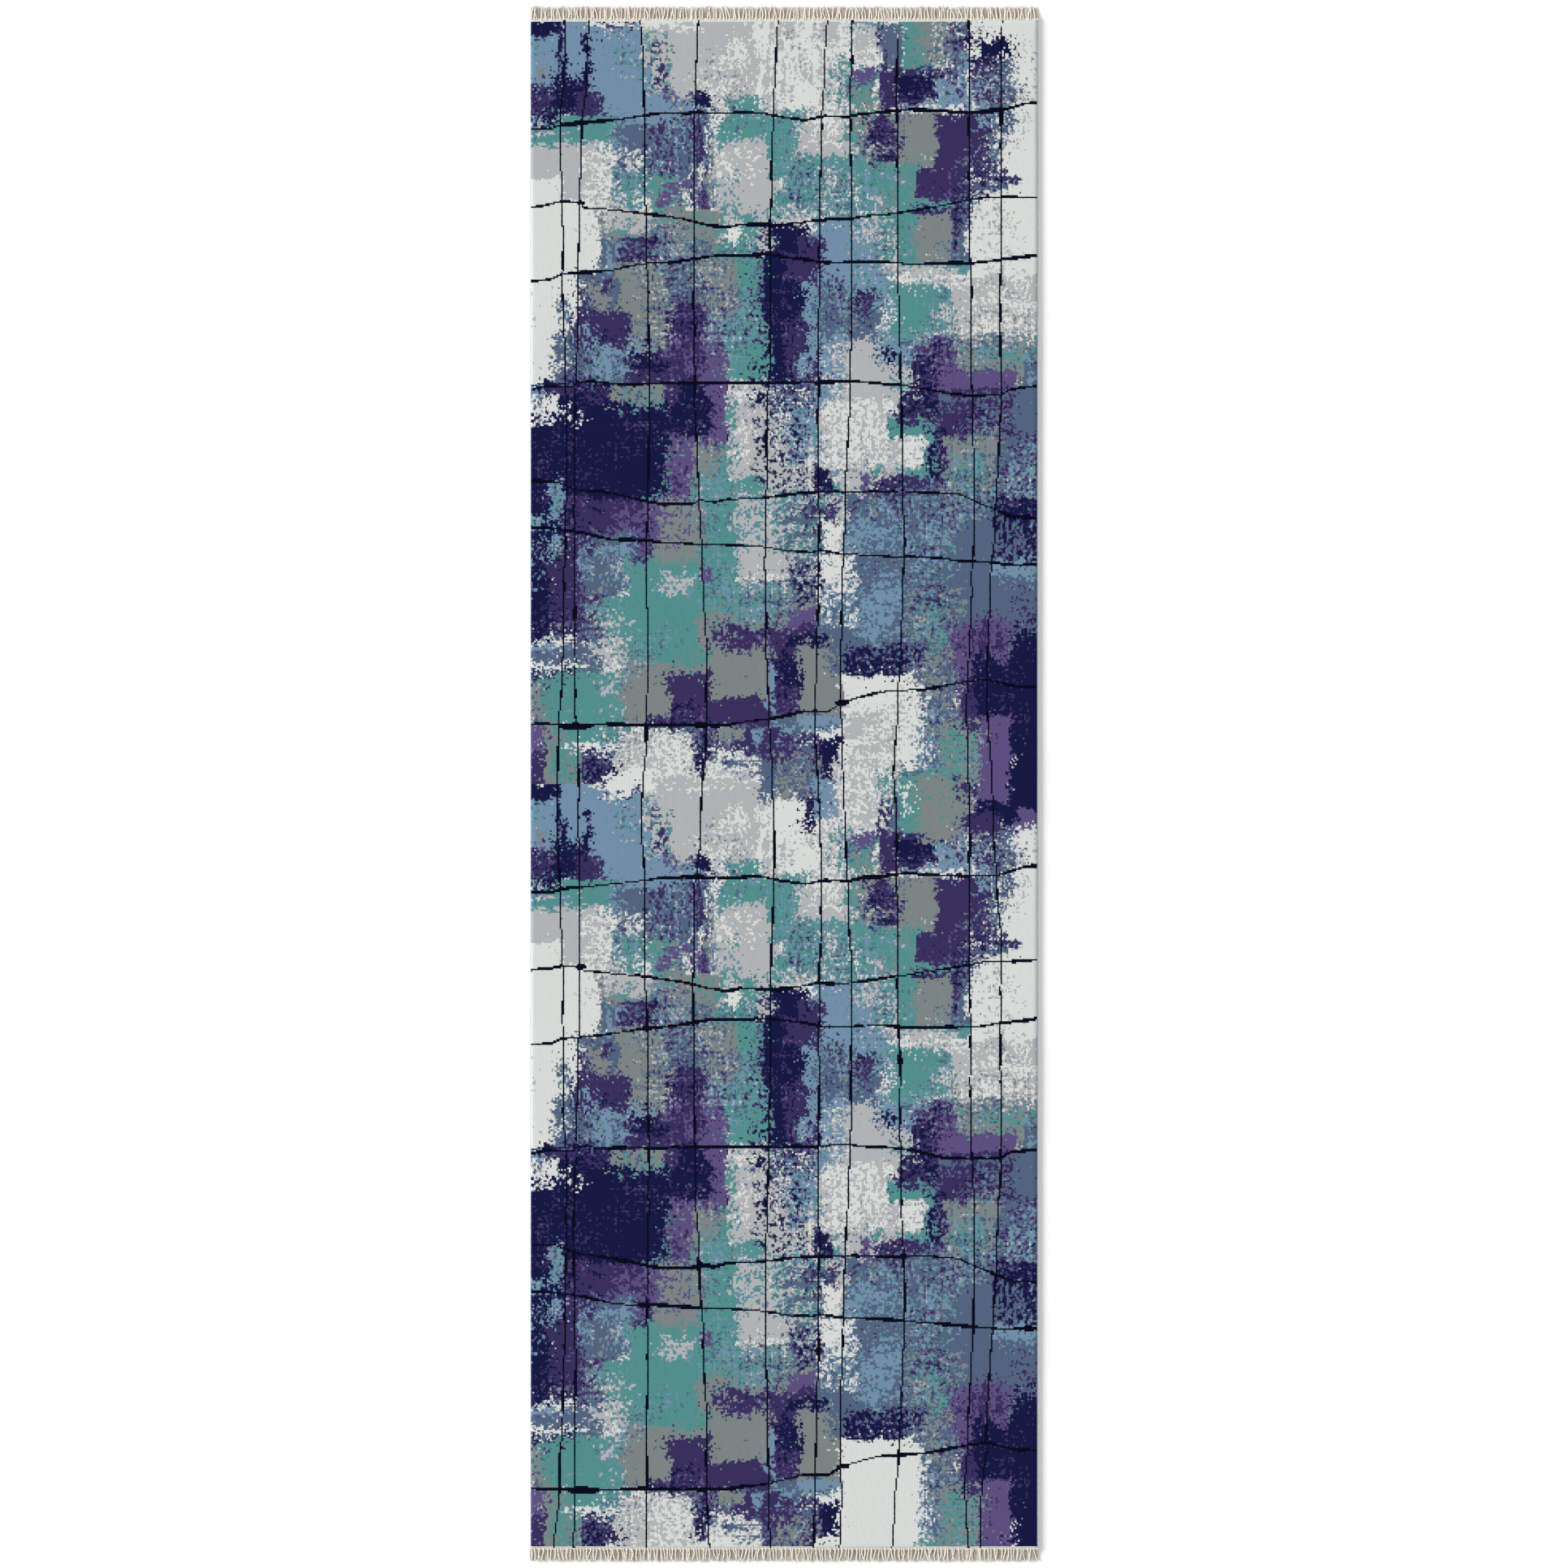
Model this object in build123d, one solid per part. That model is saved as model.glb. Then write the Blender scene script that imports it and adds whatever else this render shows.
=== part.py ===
"""A woven runner rug that lies flat: pile, ground weave, back coating, serged sides and fringed ends.

Millimetres, +Z up. The origin is the middle of the underside, +Y runs along the rug and +X across it.
Each piece is a closed solid in a file of its own, at its real place.
"""

import os

from build123d import *

# Driving dimensions
RUG_WIDTH = 800.0  # over the serged sides
PILE_LENGTH = 2400.0  # woven length, without the fringes
FRINGE_LENGTH = 17.8  # free length of a fringe yarn
COAT_THICKNESS = 1.0  # latex back coating
GROUND_THICKNESS = 1.8  # ground weave of warp and weft
PILE_HEIGHT = 6.2  # pile above the ground weave

# Serged sides: a cord and the ground's edge, wrapped together in yarn
CORD_RADIUS = 1.5
SERGING_YARN = 1.0  # thickness of the wrapped yarn
SERGING_REACH = 7.0  # how far in from the rug's side the wrapping grips
EDGE_SHOWN = 2.5  # width of serging that shows beside the pile
GROUND_INSET = 4.5  # from the rug's side to the ground's edge, clear of the cord
PILE_CLEARANCE = 0.3  # between the pile and the wrapping under it
PILE_CHAMFER = 1.2  # worn-off corner along the pile's top edges

# Fringed ends: a tape sewn under the end, with a raised lip that holds the yarns
TAPE_GRIP = 14.0  # width of tape under the rug
TAPE_LIP = 3.0  # how far the lip stands out past the pile
LIP_HEIGHT = 6.5
YARN_PITCH = 4.0
YARN_ACROSS = 3.0  # across the flats of a fringe yarn
YARN_LIFT = 0.2  # the yarns clear the floor, so that the rug rests on its back
STITCH_INSET = 7.0  # from the rug's end to the line of stitches
STITCH_PITCH = 8.0
STITCH_LENGTH = 6.0
STITCH_WIDTH = 0.8
STITCH_DEPTH = 0.4
GROOVE_WIDTH = 1.4  # the stitches sink into a groove in the tape
GROOVE_DEPTH = 0.5

# Levels and places that follow
HALF_WIDTH = RUG_WIDTH / 2
HALF_LENGTH = PILE_LENGTH / 2
GROUND_TOP = COAT_THICKNESS + GROUND_THICKNESS
PILE_TOP = GROUND_TOP + PILE_HEIGHT
WRAP_RADIUS = CORD_RADIUS + SERGING_YARN
LIP_FACE = HALF_LENGTH + TAPE_LIP
TAPE_HALF_WIDTH = HALF_WIDTH - SERGING_REACH

# +Y is the far end and -X the left side
ENDS = {"far": 1, "near": -1}
SIDES = {"left": -1, "right": 1}


def block(x, y, z):
    """A box between two limits on each axis, each given as (low, high)."""
    corner = Pos((x[0] + x[1]) / 2, (y[0] + y[1]) / 2, (z[0] + z[1]) / 2)
    return corner * Box(x[1] - x[0], y[1] - y[0], z[1] - z[0])


def along_the_rug(profile):
    """A profile drawn in the XZ plane, run along the whole woven length."""
    return extrude(Plane.XZ * profile, amount=HALF_LENGTH, both=True)


def placed(solid, side=1, end=1):
    """A piece modelled at the right side or the far end, turned to the side and end asked for."""
    if side < 0:
        solid = mirror(solid, about=Plane.YZ)
    if end < 0:
        solid = mirror(solid, about=Plane.XZ)
    return solid


def make_pile():
    """The pile stands on the ground weave and leans out over the wrapped sides."""
    outer = HALF_WIDTH - EDGE_SHOWN
    foot = HALF_WIDTH - SERGING_REACH - PILE_CLEARANCE
    eave = 2 * WRAP_RADIUS + PILE_CLEARANCE
    right = [(foot, GROUND_TOP), (foot, eave), (outer, eave), (outer, PILE_TOP)]
    left = [(-x, z) for x, z in reversed(right)]
    slab = along_the_rug(make_face(Polyline(*right, *left, close=True)))
    top_edges = slab.faces().sort_by(Axis.Z)[-1].edges()
    return chamfer(top_edges, PILE_CHAMFER)


def make_ground():
    """One cloth of ground warp and weft, from selvedge to selvedge."""
    half = HALF_WIDTH - GROUND_INSET
    return block((-half, half), (-HALF_LENGTH, HALF_LENGTH), (COAT_THICKNESS, GROUND_TOP))


def make_coating():
    """The latex that locks the weave, between the wrapped sides and the two tapes."""
    half_length = HALF_LENGTH - TAPE_GRIP
    return block((-TAPE_HALF_WIDTH, TAPE_HALF_WIDTH), (-half_length, half_length), (0, COAT_THICKNESS))


def make_cord():
    """The cord that stiffens the right side."""
    centre = Pos(HALF_WIDTH - WRAP_RADIUS, WRAP_RADIUS)
    return along_the_rug(centre * Circle(CORD_RADIUS))


def make_serging():
    """Yarn wrapped round the cord and the ground's edge: round outside, open on the inner side."""
    cord_x = HALF_WIDTH - WRAP_RADIUS
    inner_x = HALF_WIDTH - SERGING_REACH
    grip = cord_x - inner_x
    strip_top = GROUND_TOP + SERGING_YARN
    outer = Pos(cord_x, WRAP_RADIUS) * Circle(WRAP_RADIUS)
    outer += Pos(inner_x + grip / 2, strip_top / 2) * Rectangle(grip, strip_top)
    inner = Pos(cord_x, WRAP_RADIUS) * Circle(CORD_RADIUS)
    ground_z = (COAT_THICKNESS + GROUND_TOP) / 2
    inner += Pos(inner_x + grip / 2, ground_z) * Rectangle(grip, GROUND_THICKNESS)
    return along_the_rug(outer - inner)


def make_tape():
    """The far fringe's tape: flat under the rug's end, with a lip across the whole width."""
    flat = block((-TAPE_HALF_WIDTH, TAPE_HALF_WIDTH), (HALF_LENGTH - TAPE_GRIP, LIP_FACE), (0, COAT_THICKNESS))
    lip = block((-HALF_WIDTH, HALF_WIDTH), (HALF_LENGTH, LIP_FACE), (0, LIP_HEIGHT))
    stitch_y = HALF_LENGTH - STITCH_INSET
    groove = block(
        (-TAPE_HALF_WIDTH, TAPE_HALF_WIDTH),
        (stitch_y - GROOVE_WIDTH / 2, stitch_y + GROOVE_WIDTH / 2),
        (0, GROOVE_DEPTH),
    )
    return flat + lip - groove


def make_yarns():
    """The far fringe's yarns, six-sided bars side by side, each against the lip."""
    count = round(RUG_WIDTH / YARN_PITCH)
    apothem = YARN_ACROSS / 2
    start = Plane(origin=(0, LIP_FACE, YARN_LIFT + apothem), x_dir=(1, 0, 0), z_dir=(0, 1, 0))
    hexagon = RegularPolygon(apothem, 6, major_radius=False)
    bar = extrude(start * hexagon, amount=FRINGE_LENGTH)
    return Compound([Pos((i - (count - 1) / 2) * YARN_PITCH, 0, 0) * bar for i in range(count)])


def make_stitches():
    """The line of stitches that holds the far tape, sunk into the tape's groove."""
    count = int((2 * TAPE_HALF_WIDTH - STITCH_LENGTH) // STITCH_PITCH) + 1
    stitch_y = HALF_LENGTH - STITCH_INSET
    stitch = block(
        (-STITCH_LENGTH / 2, STITCH_LENGTH / 2),
        (stitch_y - STITCH_WIDTH / 2, stitch_y + STITCH_WIDTH / 2),
        (GROOVE_DEPTH - STITCH_DEPTH, GROOVE_DEPTH),
    )
    return Compound([Pos((i - (count - 1) / 2) * STITCH_PITCH, 0, 0) * stitch for i in range(count)])


pieces = {"pile": make_pile(), "ground_weave": make_ground(), "back_coating": make_coating()}
for name, side in SIDES.items():
    pieces[f"{name}_selvedge_cord"] = placed(make_cord(), side=side)
    pieces[f"{name}_serging"] = placed(make_serging(), side=side)
for name, end in ENDS.items():
    pieces[f"{name}_fringe_tape"] = placed(make_tape(), end=end)
    pieces[f"{name}_fringe_yarns"] = placed(make_yarns(), end=end)
    pieces[f"{name}_tape_stitches"] = placed(make_stitches(), end=end)

os.makedirs("parts", exist_ok=True)
for name, solid in pieces.items():
    export_step(solid, f"parts/{name}.step")
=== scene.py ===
"""The looks of a fringed runner rug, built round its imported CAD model.

Metres, in the frame's own axes: +Z up, +Y along the rug to its far end, +X across it. The pile is
one mesh with a face for every knot, and the abstract design is painted on a grid of those knots.
"""

import math

import bmesh
import bpy
import numpy as np
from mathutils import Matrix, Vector


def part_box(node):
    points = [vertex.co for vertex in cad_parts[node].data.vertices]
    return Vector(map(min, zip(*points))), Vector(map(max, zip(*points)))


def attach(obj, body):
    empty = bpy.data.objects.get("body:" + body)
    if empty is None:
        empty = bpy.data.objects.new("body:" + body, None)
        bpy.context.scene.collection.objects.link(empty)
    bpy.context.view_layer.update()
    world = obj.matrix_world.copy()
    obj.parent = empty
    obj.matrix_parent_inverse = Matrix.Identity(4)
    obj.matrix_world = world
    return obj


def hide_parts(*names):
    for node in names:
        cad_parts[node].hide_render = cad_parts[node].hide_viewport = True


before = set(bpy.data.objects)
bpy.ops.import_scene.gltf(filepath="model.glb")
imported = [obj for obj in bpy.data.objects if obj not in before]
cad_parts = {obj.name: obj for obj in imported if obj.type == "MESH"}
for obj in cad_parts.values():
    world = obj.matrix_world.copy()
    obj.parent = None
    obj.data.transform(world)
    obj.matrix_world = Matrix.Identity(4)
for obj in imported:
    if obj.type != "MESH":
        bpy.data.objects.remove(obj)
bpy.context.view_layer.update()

TURN = 2 * math.pi
MM = 0.001
ACROSS, ALONG, UP = np.eye(3)
SIDES = {"left": -1, "right": 1}
ENDS = {"far": 1, "near": -1}
# Seeds of the random draws. A side's or an end's sign is added to its pieces' seeds.
SEEDS = {
    "design": 7, "pile": 11, "ground": 5, "latex": 6, "serging": 23, "fringe": 41, "tape": 61, "stitching": 83
}

# The design: a repeat of it, in cm, and the ten dyed yarns, as they look under the scene's light,
# in sRGB from 0 to 255
KNOTS_PER_CM = 4
REPEAT_WIDTH = 80
REPEAT_LENGTH = 120
REPEATS = 2
YARNS = {
    "white": (213, 216, 213),
    "silver": (176, 177, 179),
    "sage": (123, 131, 131),
    "teal": (82, 141, 139),
    "steel": (113, 141, 167),
    "slate": (82, 99, 126),
    "purple": (92, 78, 126),
    "plum": (57, 47, 92),
    "navy": (21, 24, 66),
    "black": (5, 10, 29),
}
YARN_NAMES = list(YARNS)
COLOURS = np.array(list(YARNS.values()), float)
BLACK = YARN_NAMES.index("black")

# The strokes of one repeat, each over the ones before it: yarn, left, top, right and bottom in cm,
# how much it covers, how ragged its edge is in cm, and its brush if that isn't "blotch".
STROKES = (
    # Grounds, one band of the repeat after another
    ("white", -2, -2, 82, 122, 1, 0.1), ("slate", 10, 33, 47, 46, 1, 1),
    ("plum", 10, 44, 30, 79, 1, 1), ("slate", 58, 57, 82, 104, 1, 1),
    ("slate", 43, 74, 60, 104, 1, 1), ("teal", 18, 66, 44, 101, 1, 1),
    ("sage", 14, 98, 50, 111, 1, 1), ("slate", 25, 108, 50, 113, 1, 1),
    ("silver", 43, 49, 62, 61, 1, 1), ("silver", 20, -2, 46, 15, 1, 1),
    ("white", 34, -2, 57, 15, 0.6, 5, "down"), ("white", 41.5, 9.5, 46.5, 14.5, 0.9, 2),
    ("silver", 45.5, 6, 51, 14.5, 0.6, 1.5, "speckle"), ("teal", 47, 5, 51, 14.5, 0.4, 1.5, "speckle"),
    ("white", 18, -2, 27, 1.5, 0.6, 1.5), ("silver", 46, -2, 56, 4.5, 0.7, 1.5),
    ("silver", -2, 18, 16, 30, 1, 2), ("white", -2, 25, 5, 31, 1, 0.6, "across"),
    ("white", 8, 19, 16, 31, 0.5, 3), ("white", -2, 29, 11, 50, 1, 1.5),
    # Top band, left: navy corner, steel blocks
    ("steel", -2, 2, 9.5, 15, 1, 0.6), ("navy", -2, 0, 5, 2.5, 1, 1),
    ("sage", 1, 7, 3, 8.5, 0.8, 0.7), ("steel", 5.5, -2, 9, 8.5, 1, 0.3),
    ("steel", 9, 0, 18, 16, 1, 0.4), ("white", 9.5, -2, 18, 1.5, 1, 0.6, "across"),
    ("plum", 11, 0.5, 17, 2, 0.7, 1, "across"), ("navy", 4.5, 3, 5.5, 14, 0.9, 1, "down"),
    ("navy", 8.5, 2, 9.5, 10, 0.9, 0.7, "down"), ("plum", -2, 9, 5, 15, 0.75, 1),
    ("navy", 3.5, 8.5, 10, 15, 0.85, 2), ("plum", 6.5, 11, 12, 16.5, 0.7, 2),
    # Column at 18-22
    ("silver", 18, 1.5, 22, 12, 0.9, 1, "down"), ("teal", 18, 1.5, 22.5, 12, 0.3, 1, "speckle"),
    ("plum", 19, 3, 21.5, 12, 0.4, 1, "speckle"), ("steel", 17.5, 7, 19, 15, 0.6, 1, "down"),
    ("white", 30.5, 2.5, 34, 7, 0.5, 2),
    # Small blocks above the first line
    ("steel", 18.5, 12, 26, 15.5, 1, 1), ("purple", 20.5, 11, 26, 13, 0.6, 1, "speckle"),
    ("navy", 26, 11, 29, 14, 1, 0.5), ("white", 29, 11, 31, 14.5, 0.6, 1),
    ("teal", 31, 12, 35.5, 15, 0.9, 1),
    # Top band, right
    ("teal", 50.5, -2, 55, 2, 0.7, 1), ("silver", 51, 1, 55, 6, 0.6, 1),
    ("teal", 49, 6.5, 55.5, 10.5, 0.7, 1.5), ("purple", 50, 7, 53.5, 12.5, 0.85, 1.5),
    ("sage", 50.5, 11, 56.5, 15, 0.7, 1.5, "speckle"), ("teal", 50, 10, 55, 15, 0.4, 1.5, "speckle"),
    ("slate", 55, 0, 59, 7.5, 0.9, 1, "down"), ("plum", 55, -2, 56, 12, 0.7, 1, "down"),
    ("teal", 59, -2, 63, 8.5, 1, 1), ("sage", 61, -2, 67, 9, 0.75, 2),
    ("slate", 66, -2, 69, 10, 0.75, 1, "down"), ("plum", 66, 1, 69, 13, 0.35, 1, "down"),
    ("steel", 67.5, 5, 69, 13, 0.85, 1, "down"), ("plum", 54.5, 7.5, 66, 13.5, 0.85, 1.5),
    ("navy", 57.5, 9, 64.5, 12.5, 0.85, 1.5, "across"), ("steel", 64.5, 9, 69, 14, 0.85, 1.5),
    ("plum", 66, 10, 69, 13, 0.4, 1, "speckle"), ("steel", 58, 12.5, 66, 14, 0.7, 1, "across"),
    ("white", 69, -2, 82, 17, 1, 0.3), ("slate", 69.5, 6.5, 76.5, 14.5, 0.85, 1.5),
    ("plum", 69.5, 6.5, 74.5, 13, 0.5, 1, "speckle"), ("silver", 74.5, 8, 77, 14.5, 0.4, 1, "speckle"),
    ("steel", 69, 9.5, 71.5, 14.5, 0.75, 1, "down"), ("navy", 69, 1, 71.5, 4, 0.75, 1),
    ("navy", 71, 3, 75.5, 5.5, 1, 0.6), ("navy", 69, 5.5, 74, 7, 0.8, 1, "across"),
    ("plum", 69, 6, 71.5, 8.5, 0.6, 1),
    # Under the first line, left
    ("teal", -2, 15, 14, 19.5, 0.85, 1.5, "across"), ("navy", -2, 14.5, 5, 17, 0.6, 0.7, "speckle"),
    ("steel", 13, 15, 18, 20, 0.85, 2), ("steel", 18, 14.5, 27, 23, 0.9, 1.5),
    ("slate", 13.5, 16, 22, 27, 0.7, 2.5), ("slate", 18.5, 18.5, 24, 25, 0.6, 1.5),
    ("plum", 17.5, 15, 28, 27, 0.3, 2, "speckle"), ("slate", 23, 14.5, 29, 31, 0.5, 2, "down"),
    ("plum", 24.5, 15, 28.5, 31, 0.4, 1.5, "down"), ("sage", 27.5, 18.5, 29.5, 31, 0.6, 1, "down"),
    ("teal", 13, 24, 24, 31, 0.5, 2.5), ("sage", 19, 25, 24, 31, 0.6, 2),
    ("teal", 19.5, 26, 23.5, 31, 0.6, 1.5), ("purple", 21, 24.5, 27, 29, 0.5, 1.5),
    # Under the first line, middle
    ("silver", 29, 18, 41, 31, 1, 1.5), ("white", 29, 18.5, 37, 26, 0.35, 2, "speckle"),
    ("teal", 30, 14.5, 44, 19.5, 1, 1.5), ("teal", 37.5, 16, 51, 31, 1, 1.5),
    ("teal", 29, 24, 33.5, 30, 0.35, 2, "speckle"), ("silver", 31, 18.5, 37, 21, 0.7, 1),
    ("silver", 36.5, 24.5, 40, 31, 0.5, 1.5), ("silver", 42, 15, 50, 21.5, 0.9, 2),
    ("white", 43.5, 15, 49.5, 20, 0.6, 1.5), ("silver", 45.5, 23, 50, 31, 0.4, 2),
    # Under the first line, right
    ("sage", 51, 14.5, 65, 25, 0.85, 1.5), ("teal", 50, 14.5, 53, 20, 0.4, 1),
    ("sage", 58, 14.5, 65, 21, 1, 0.6), ("plum", 52.5, 15, 58, 20, 0.85, 2),
    ("plum", 53.5, 19.5, 58.5, 24, 0.5, 1.5, "across"), ("teal", 51, 22, 62, 31, 0.85, 2),
    ("sage", 55, 25, 61, 31, 0.4, 2), ("plum", 61, 23.5, 70, 30, 1, 1),
    ("plum", 64, 14.5, 69.5, 24, 1, 1), ("plum", 68.5, 14.5, 73, 24, 0.85, 1),
    ("steel", 69.5, 14.5, 72.5, 17, 0.85, 1.5), ("slate", 74, 14, 76, 18, 0.85, 1, "down"),
    ("slate", 67, 19, 71, 30, 0.25, 1.5, "speckle"), ("white", 73, 19, 82, 31, 1, 1),
    ("slate", 72.5, 14, 75.5, 24, 0.5, 1, "speckle"), ("slate", 69, 25, 75.5, 27, 0.6, 1, "across"),
    ("plum", 69.5, 24, 77, 25.5, 1, 1, "across"),
    # Second band, left
    ("sage", 10.5, 30, 30, 38, 0.9, 1), ("silver", 11, 29, 19, 33.5, 0.75, 1.5),
    ("teal", 11, 30.5, 17, 34.5, 0.5, 1.5), ("teal", 18, 30.5, 24, 35, 0.4, 1.5),
    ("slate", 10.5, 34, 21, 40, 0.8, 1.5), ("steel", 11.5, 34.5, 15.5, 40, 0.5, 1, "down"),
    ("plum", 14.5, 33.5, 20.5, 39, 0.7, 1.5, "across"), ("slate", 20, 34.5, 30, 39, 0.7, 1.5),
    ("steel", 20, 35.5, 26, 39, 0.35, 1, "speckle"), ("purple", 20.5, 32, 25, 34.5, 0.6, 1),
    ("sage", 25, 30.5, 30, 35, 0.8, 1.5), ("teal", 25, 30.5, 30, 35, 0.4, 1.5, "speckle"),
    ("teal", 29.5, 30, 38.5, 37.5, 0.75, 1.5), ("silver", 30, 30.5, 34, 35, 0.6, 1.5, "speckle"),
    ("white", 31, 32.5, 33, 34.5, 0.9, 1),
    # Second band: the navy column and its neighbours
    ("silver", 36, 29, 46, 32, 0.7, 1), ("teal", 37, 29, 42, 31.5, 0.5, 1, "speckle"),
    ("plum", 36, 32.5, 41, 38, 0.7, 1.5), ("navy", 38.5, 32, 44.5, 38, 1, 1),
    ("silver", 35, 33, 38, 49, 0.5, 1, "speckle"), ("navy", 35, 36.5, 42.5, 61, 1, 1.5),
    ("plum", 40, 37, 47, 42, 1, 1.5), ("plum", 41.5, 41, 45.5, 51, 0.85, 1.5),
    ("plum", 40.5, 48, 46, 60, 0.85, 1.5), ("navy", 40.5, 41.5, 43.5, 46.5, 1, 1),
    ("steel", 45.5, 31, 55, 50, 1, 1), ("plum", 42.5, 33, 46.5, 42, 0.75, 1),
    ("slate", 45, 41, 52, 50, 0.5, 1.5, "down"), ("silver", 51.5, 30.5, 55.5, 35, 0.75, 1, "speckle"),
    ("teal", 51.5, 30.5, 55.5, 35.5, 0.35, 1, "speckle"), ("silver", 55, 30, 58, 40, 0.8, 1),
    ("teal", 54.5, 30, 58, 38, 0.6, 1, "speckle"), ("teal", 57.5, 28.5, 69, 40.5, 1, 1),
    ("sage", 60.5, 30, 67, 38, 1, 1), ("plum", 60, 29.5, 67, 30.5, 0.8, 0.7, "across"),
    ("slate", 66.5, 29, 69.5, 38, 0.9, 1, "down"), ("plum", 66.5, 29, 68, 36, 0.7, 1, "down"),
    ("white", 69.5, 29, 82, 41.5, 1, 1), ("silver", 70, 29, 77, 34, 0.35, 2, "speckle"),
    ("silver", 66, 40.5, 82, 50, 0.9, 2), ("white", 69, 41.5, 82, 50, 0.35, 2, "speckle"),
    ("silver", 56, 38.5, 68, 42, 0.8, 1.5, "across"), ("white", 56, 40, 70, 41.5, 0.5, 1, "across"),
    ("steel", 53, 38, 57, 46, 0.85, 2), ("teal", 56.5, 41.5, 67, 50, 1, 2),
    ("silver", 62, 45, 68, 50.5, 0.4, 2),
    # Third band, left
    ("slate", 8, 39.5, 30, 46, 0.9, 1.5), ("sage", 8.5, 41, 12.5, 45, 0.5, 1.5),
    ("plum", 8, 42, 9.5, 45, 0.75, 1), ("plum", 11, 40.5, 13, 43.5, 0.75, 1),
    ("sage", 14, 38, 22, 52, 1, 1.5), ("slate", 21, 39, 27, 45, 0.5, 1.5),
    ("sage", 26, 37.5, 36, 50, 0.9, 1.5), ("slate", 26, 41, 28, 43.5, 0.9, 1),
    ("teal", 32.5, 37.5, 37, 57, 0.9, 1.5), ("teal", 28, 46, 36.5, 57, 0.75, 2.5),
    ("plum", 22, 44.5, 27.5, 50.5, 0.8, 1, "down"), ("slate", 4, 43, 7, 52, 0.35, 1.5, "down"),
    ("slate", 4, 49, 8, 58, 0.7, 1.5), ("slate", 6, 49, 16, 58, 1, 1),
    ("plum", 7.5, 45, 15.5, 51.5, 1, 1), ("plum", 5, 52, 12, 58, 0.35, 1.5, "speckle"),
    ("steel", 8.5, 47.5, 10, 53, 0.8, 1, "down"), ("steel", 10, 51, 21.5, 52.5, 0.7, 1, "across"),
    ("steel", 10, 51.5, 12, 56, 0.7, 1, "down"), ("steel", 12, 52.5, 14.5, 56, 0.6, 1.5, "down"),
    ("plum", 15, 52, 29, 58, 0.9, 1), ("navy", 15, 52.5, 23, 55, 0.7, 1, "across"),
    ("purple", 21.5, 50, 31, 57, 0.5, 1.5), ("purple", 27, 48, 31, 60, 0.9, 1.5),
    ("plum", 22, 49.5, 28, 60, 0.5, 1.5, "down"), ("teal", 31, 49.5, 35.5, 57, 1, 1),
    ("navy", 34.5, 40, 38, 60, 0.3, 1, "speckle"), ("teal", 35, 47.5, 37.5, 60, 0.4, 1, "speckle"),
    # Third band, middle
    ("steel", 43.5, 41.5, 46, 48, 1, 1), ("steel", 43.5, 49, 45, 53.5, 1, 1),
    ("steel", 42, 53, 43.5, 56.5, 0.85, 1), ("slate", 46, 43.5, 55.5, 51, 0.75, 2),
    ("plum", 47, 40, 49, 44, 0.5, 1, "down"), ("plum", 51.5, 42.5, 53.5, 46.5, 0.85, 1),
    ("steel", 45, 49, 50, 61, 0.7, 1, "speckle"), ("white", 46, 50, 51, 61, 0.25, 1.5, "speckle"),
    ("silver", 49.5, 50.5, 55.5, 61, 1, 1.5), ("steel", 55, 50, 62, 55, 1, 1),
    ("navy", 55.5, 51.5, 57.5, 55.5, 0.7, 1, "speckle"), ("slate", 58, 50.5, 63, 56, 0.5, 1),
    ("silver", 54.5, 54.5, 60.5, 58, 0.9, 1), ("teal", 56, 55, 60, 60, 0.35, 1.5, "speckle"),
    ("sage", 64.5, 49.5, 82, 57, 1, 1), ("teal", 66, 50, 82, 54, 0.35, 2),
    ("teal", 70.5, 51, 76.5, 55, 0.6, 1, "across"), ("purple", 61.5, 50, 67, 59, 1, 1),
    ("plum", 60, 51.5, 64.5, 60, 0.75, 1.5, "speckle"), ("navy", 60, 54, 64, 60, 0.5, 1.5, "speckle"),
    ("purple", 64, 55, 76.5, 60, 0.9, 1), ("plum", 64, 57.5, 75, 60, 0.6, 1, "across"),
    ("slate", 77.5, 52, 82, 66, 0.9, 1, "down"), ("steel", 77.5, 51, 82, 58, 0.4, 1, "speckle"),
    # Fourth band, left: the great navy field
    ("navy", -2, 57, 31, 66, 1, 1), ("navy", -2, 60, 21.5, 75, 1, 1),
    ("steel", -2, 57, 4, 60, 0.5, 1), ("plum", 3, 57.5, 12.5, 60, 0.7, 1),
    ("sage", 12.5, 57, 23, 60.5, 0.9, 1), ("teal", 13, 57.5, 22, 62, 0.35, 1, "speckle"),
    ("white", -2, 59, 4.5, 61.5, 0.8, 1), ("white", -2, 61, 8.5, 63.5, 0.4, 0.7, "speckle"),
    ("plum", 21, 57, 24.5, 60.5, 0.8, 1), ("purple", 28, 56, 31, 66.5, 0.9, 1),
    ("purple", 22, 65, 30, 75.5, 1, 1.5), ("plum", 20.5, 70, 25, 76, 0.4, 1.5, "speckle"),
    ("sage", 25.5, 67, 32, 76, 1, 1), ("teal", 26, 69.5, 35.5, 88, 0.85, 2),
    ("sage", 26, 67, 30, 71.5, 0.75, 1.5),
    # Fourth band, middle
    ("silver", 31, 57, 38.5, 72, 1, 1), ("teal", 30.5, 59.5, 33, 70, 0.5, 1, "speckle"),
    ("white", 31, 57.5, 35, 60, 0.6, 1), ("white", 32, 62.5, 34.5, 69, 0.4, 1, "speckle"),
    ("navy", 35, 57, 38, 60, 0.6, 1, "speckle"), ("slate", 38, 57, 46, 62, 0.8, 1, "speckle"),
    ("white", 38, 57.5, 46, 63, 0.35, 1, "speckle"), ("plum", 38.5, 57, 46, 61.5, 0.35, 1, "speckle"),
    ("silver", 37.5, 62, 50, 74.5, 1, 1.5), ("steel", 40.5, 60.5, 45.5, 69.5, 0.9, 2),
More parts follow.
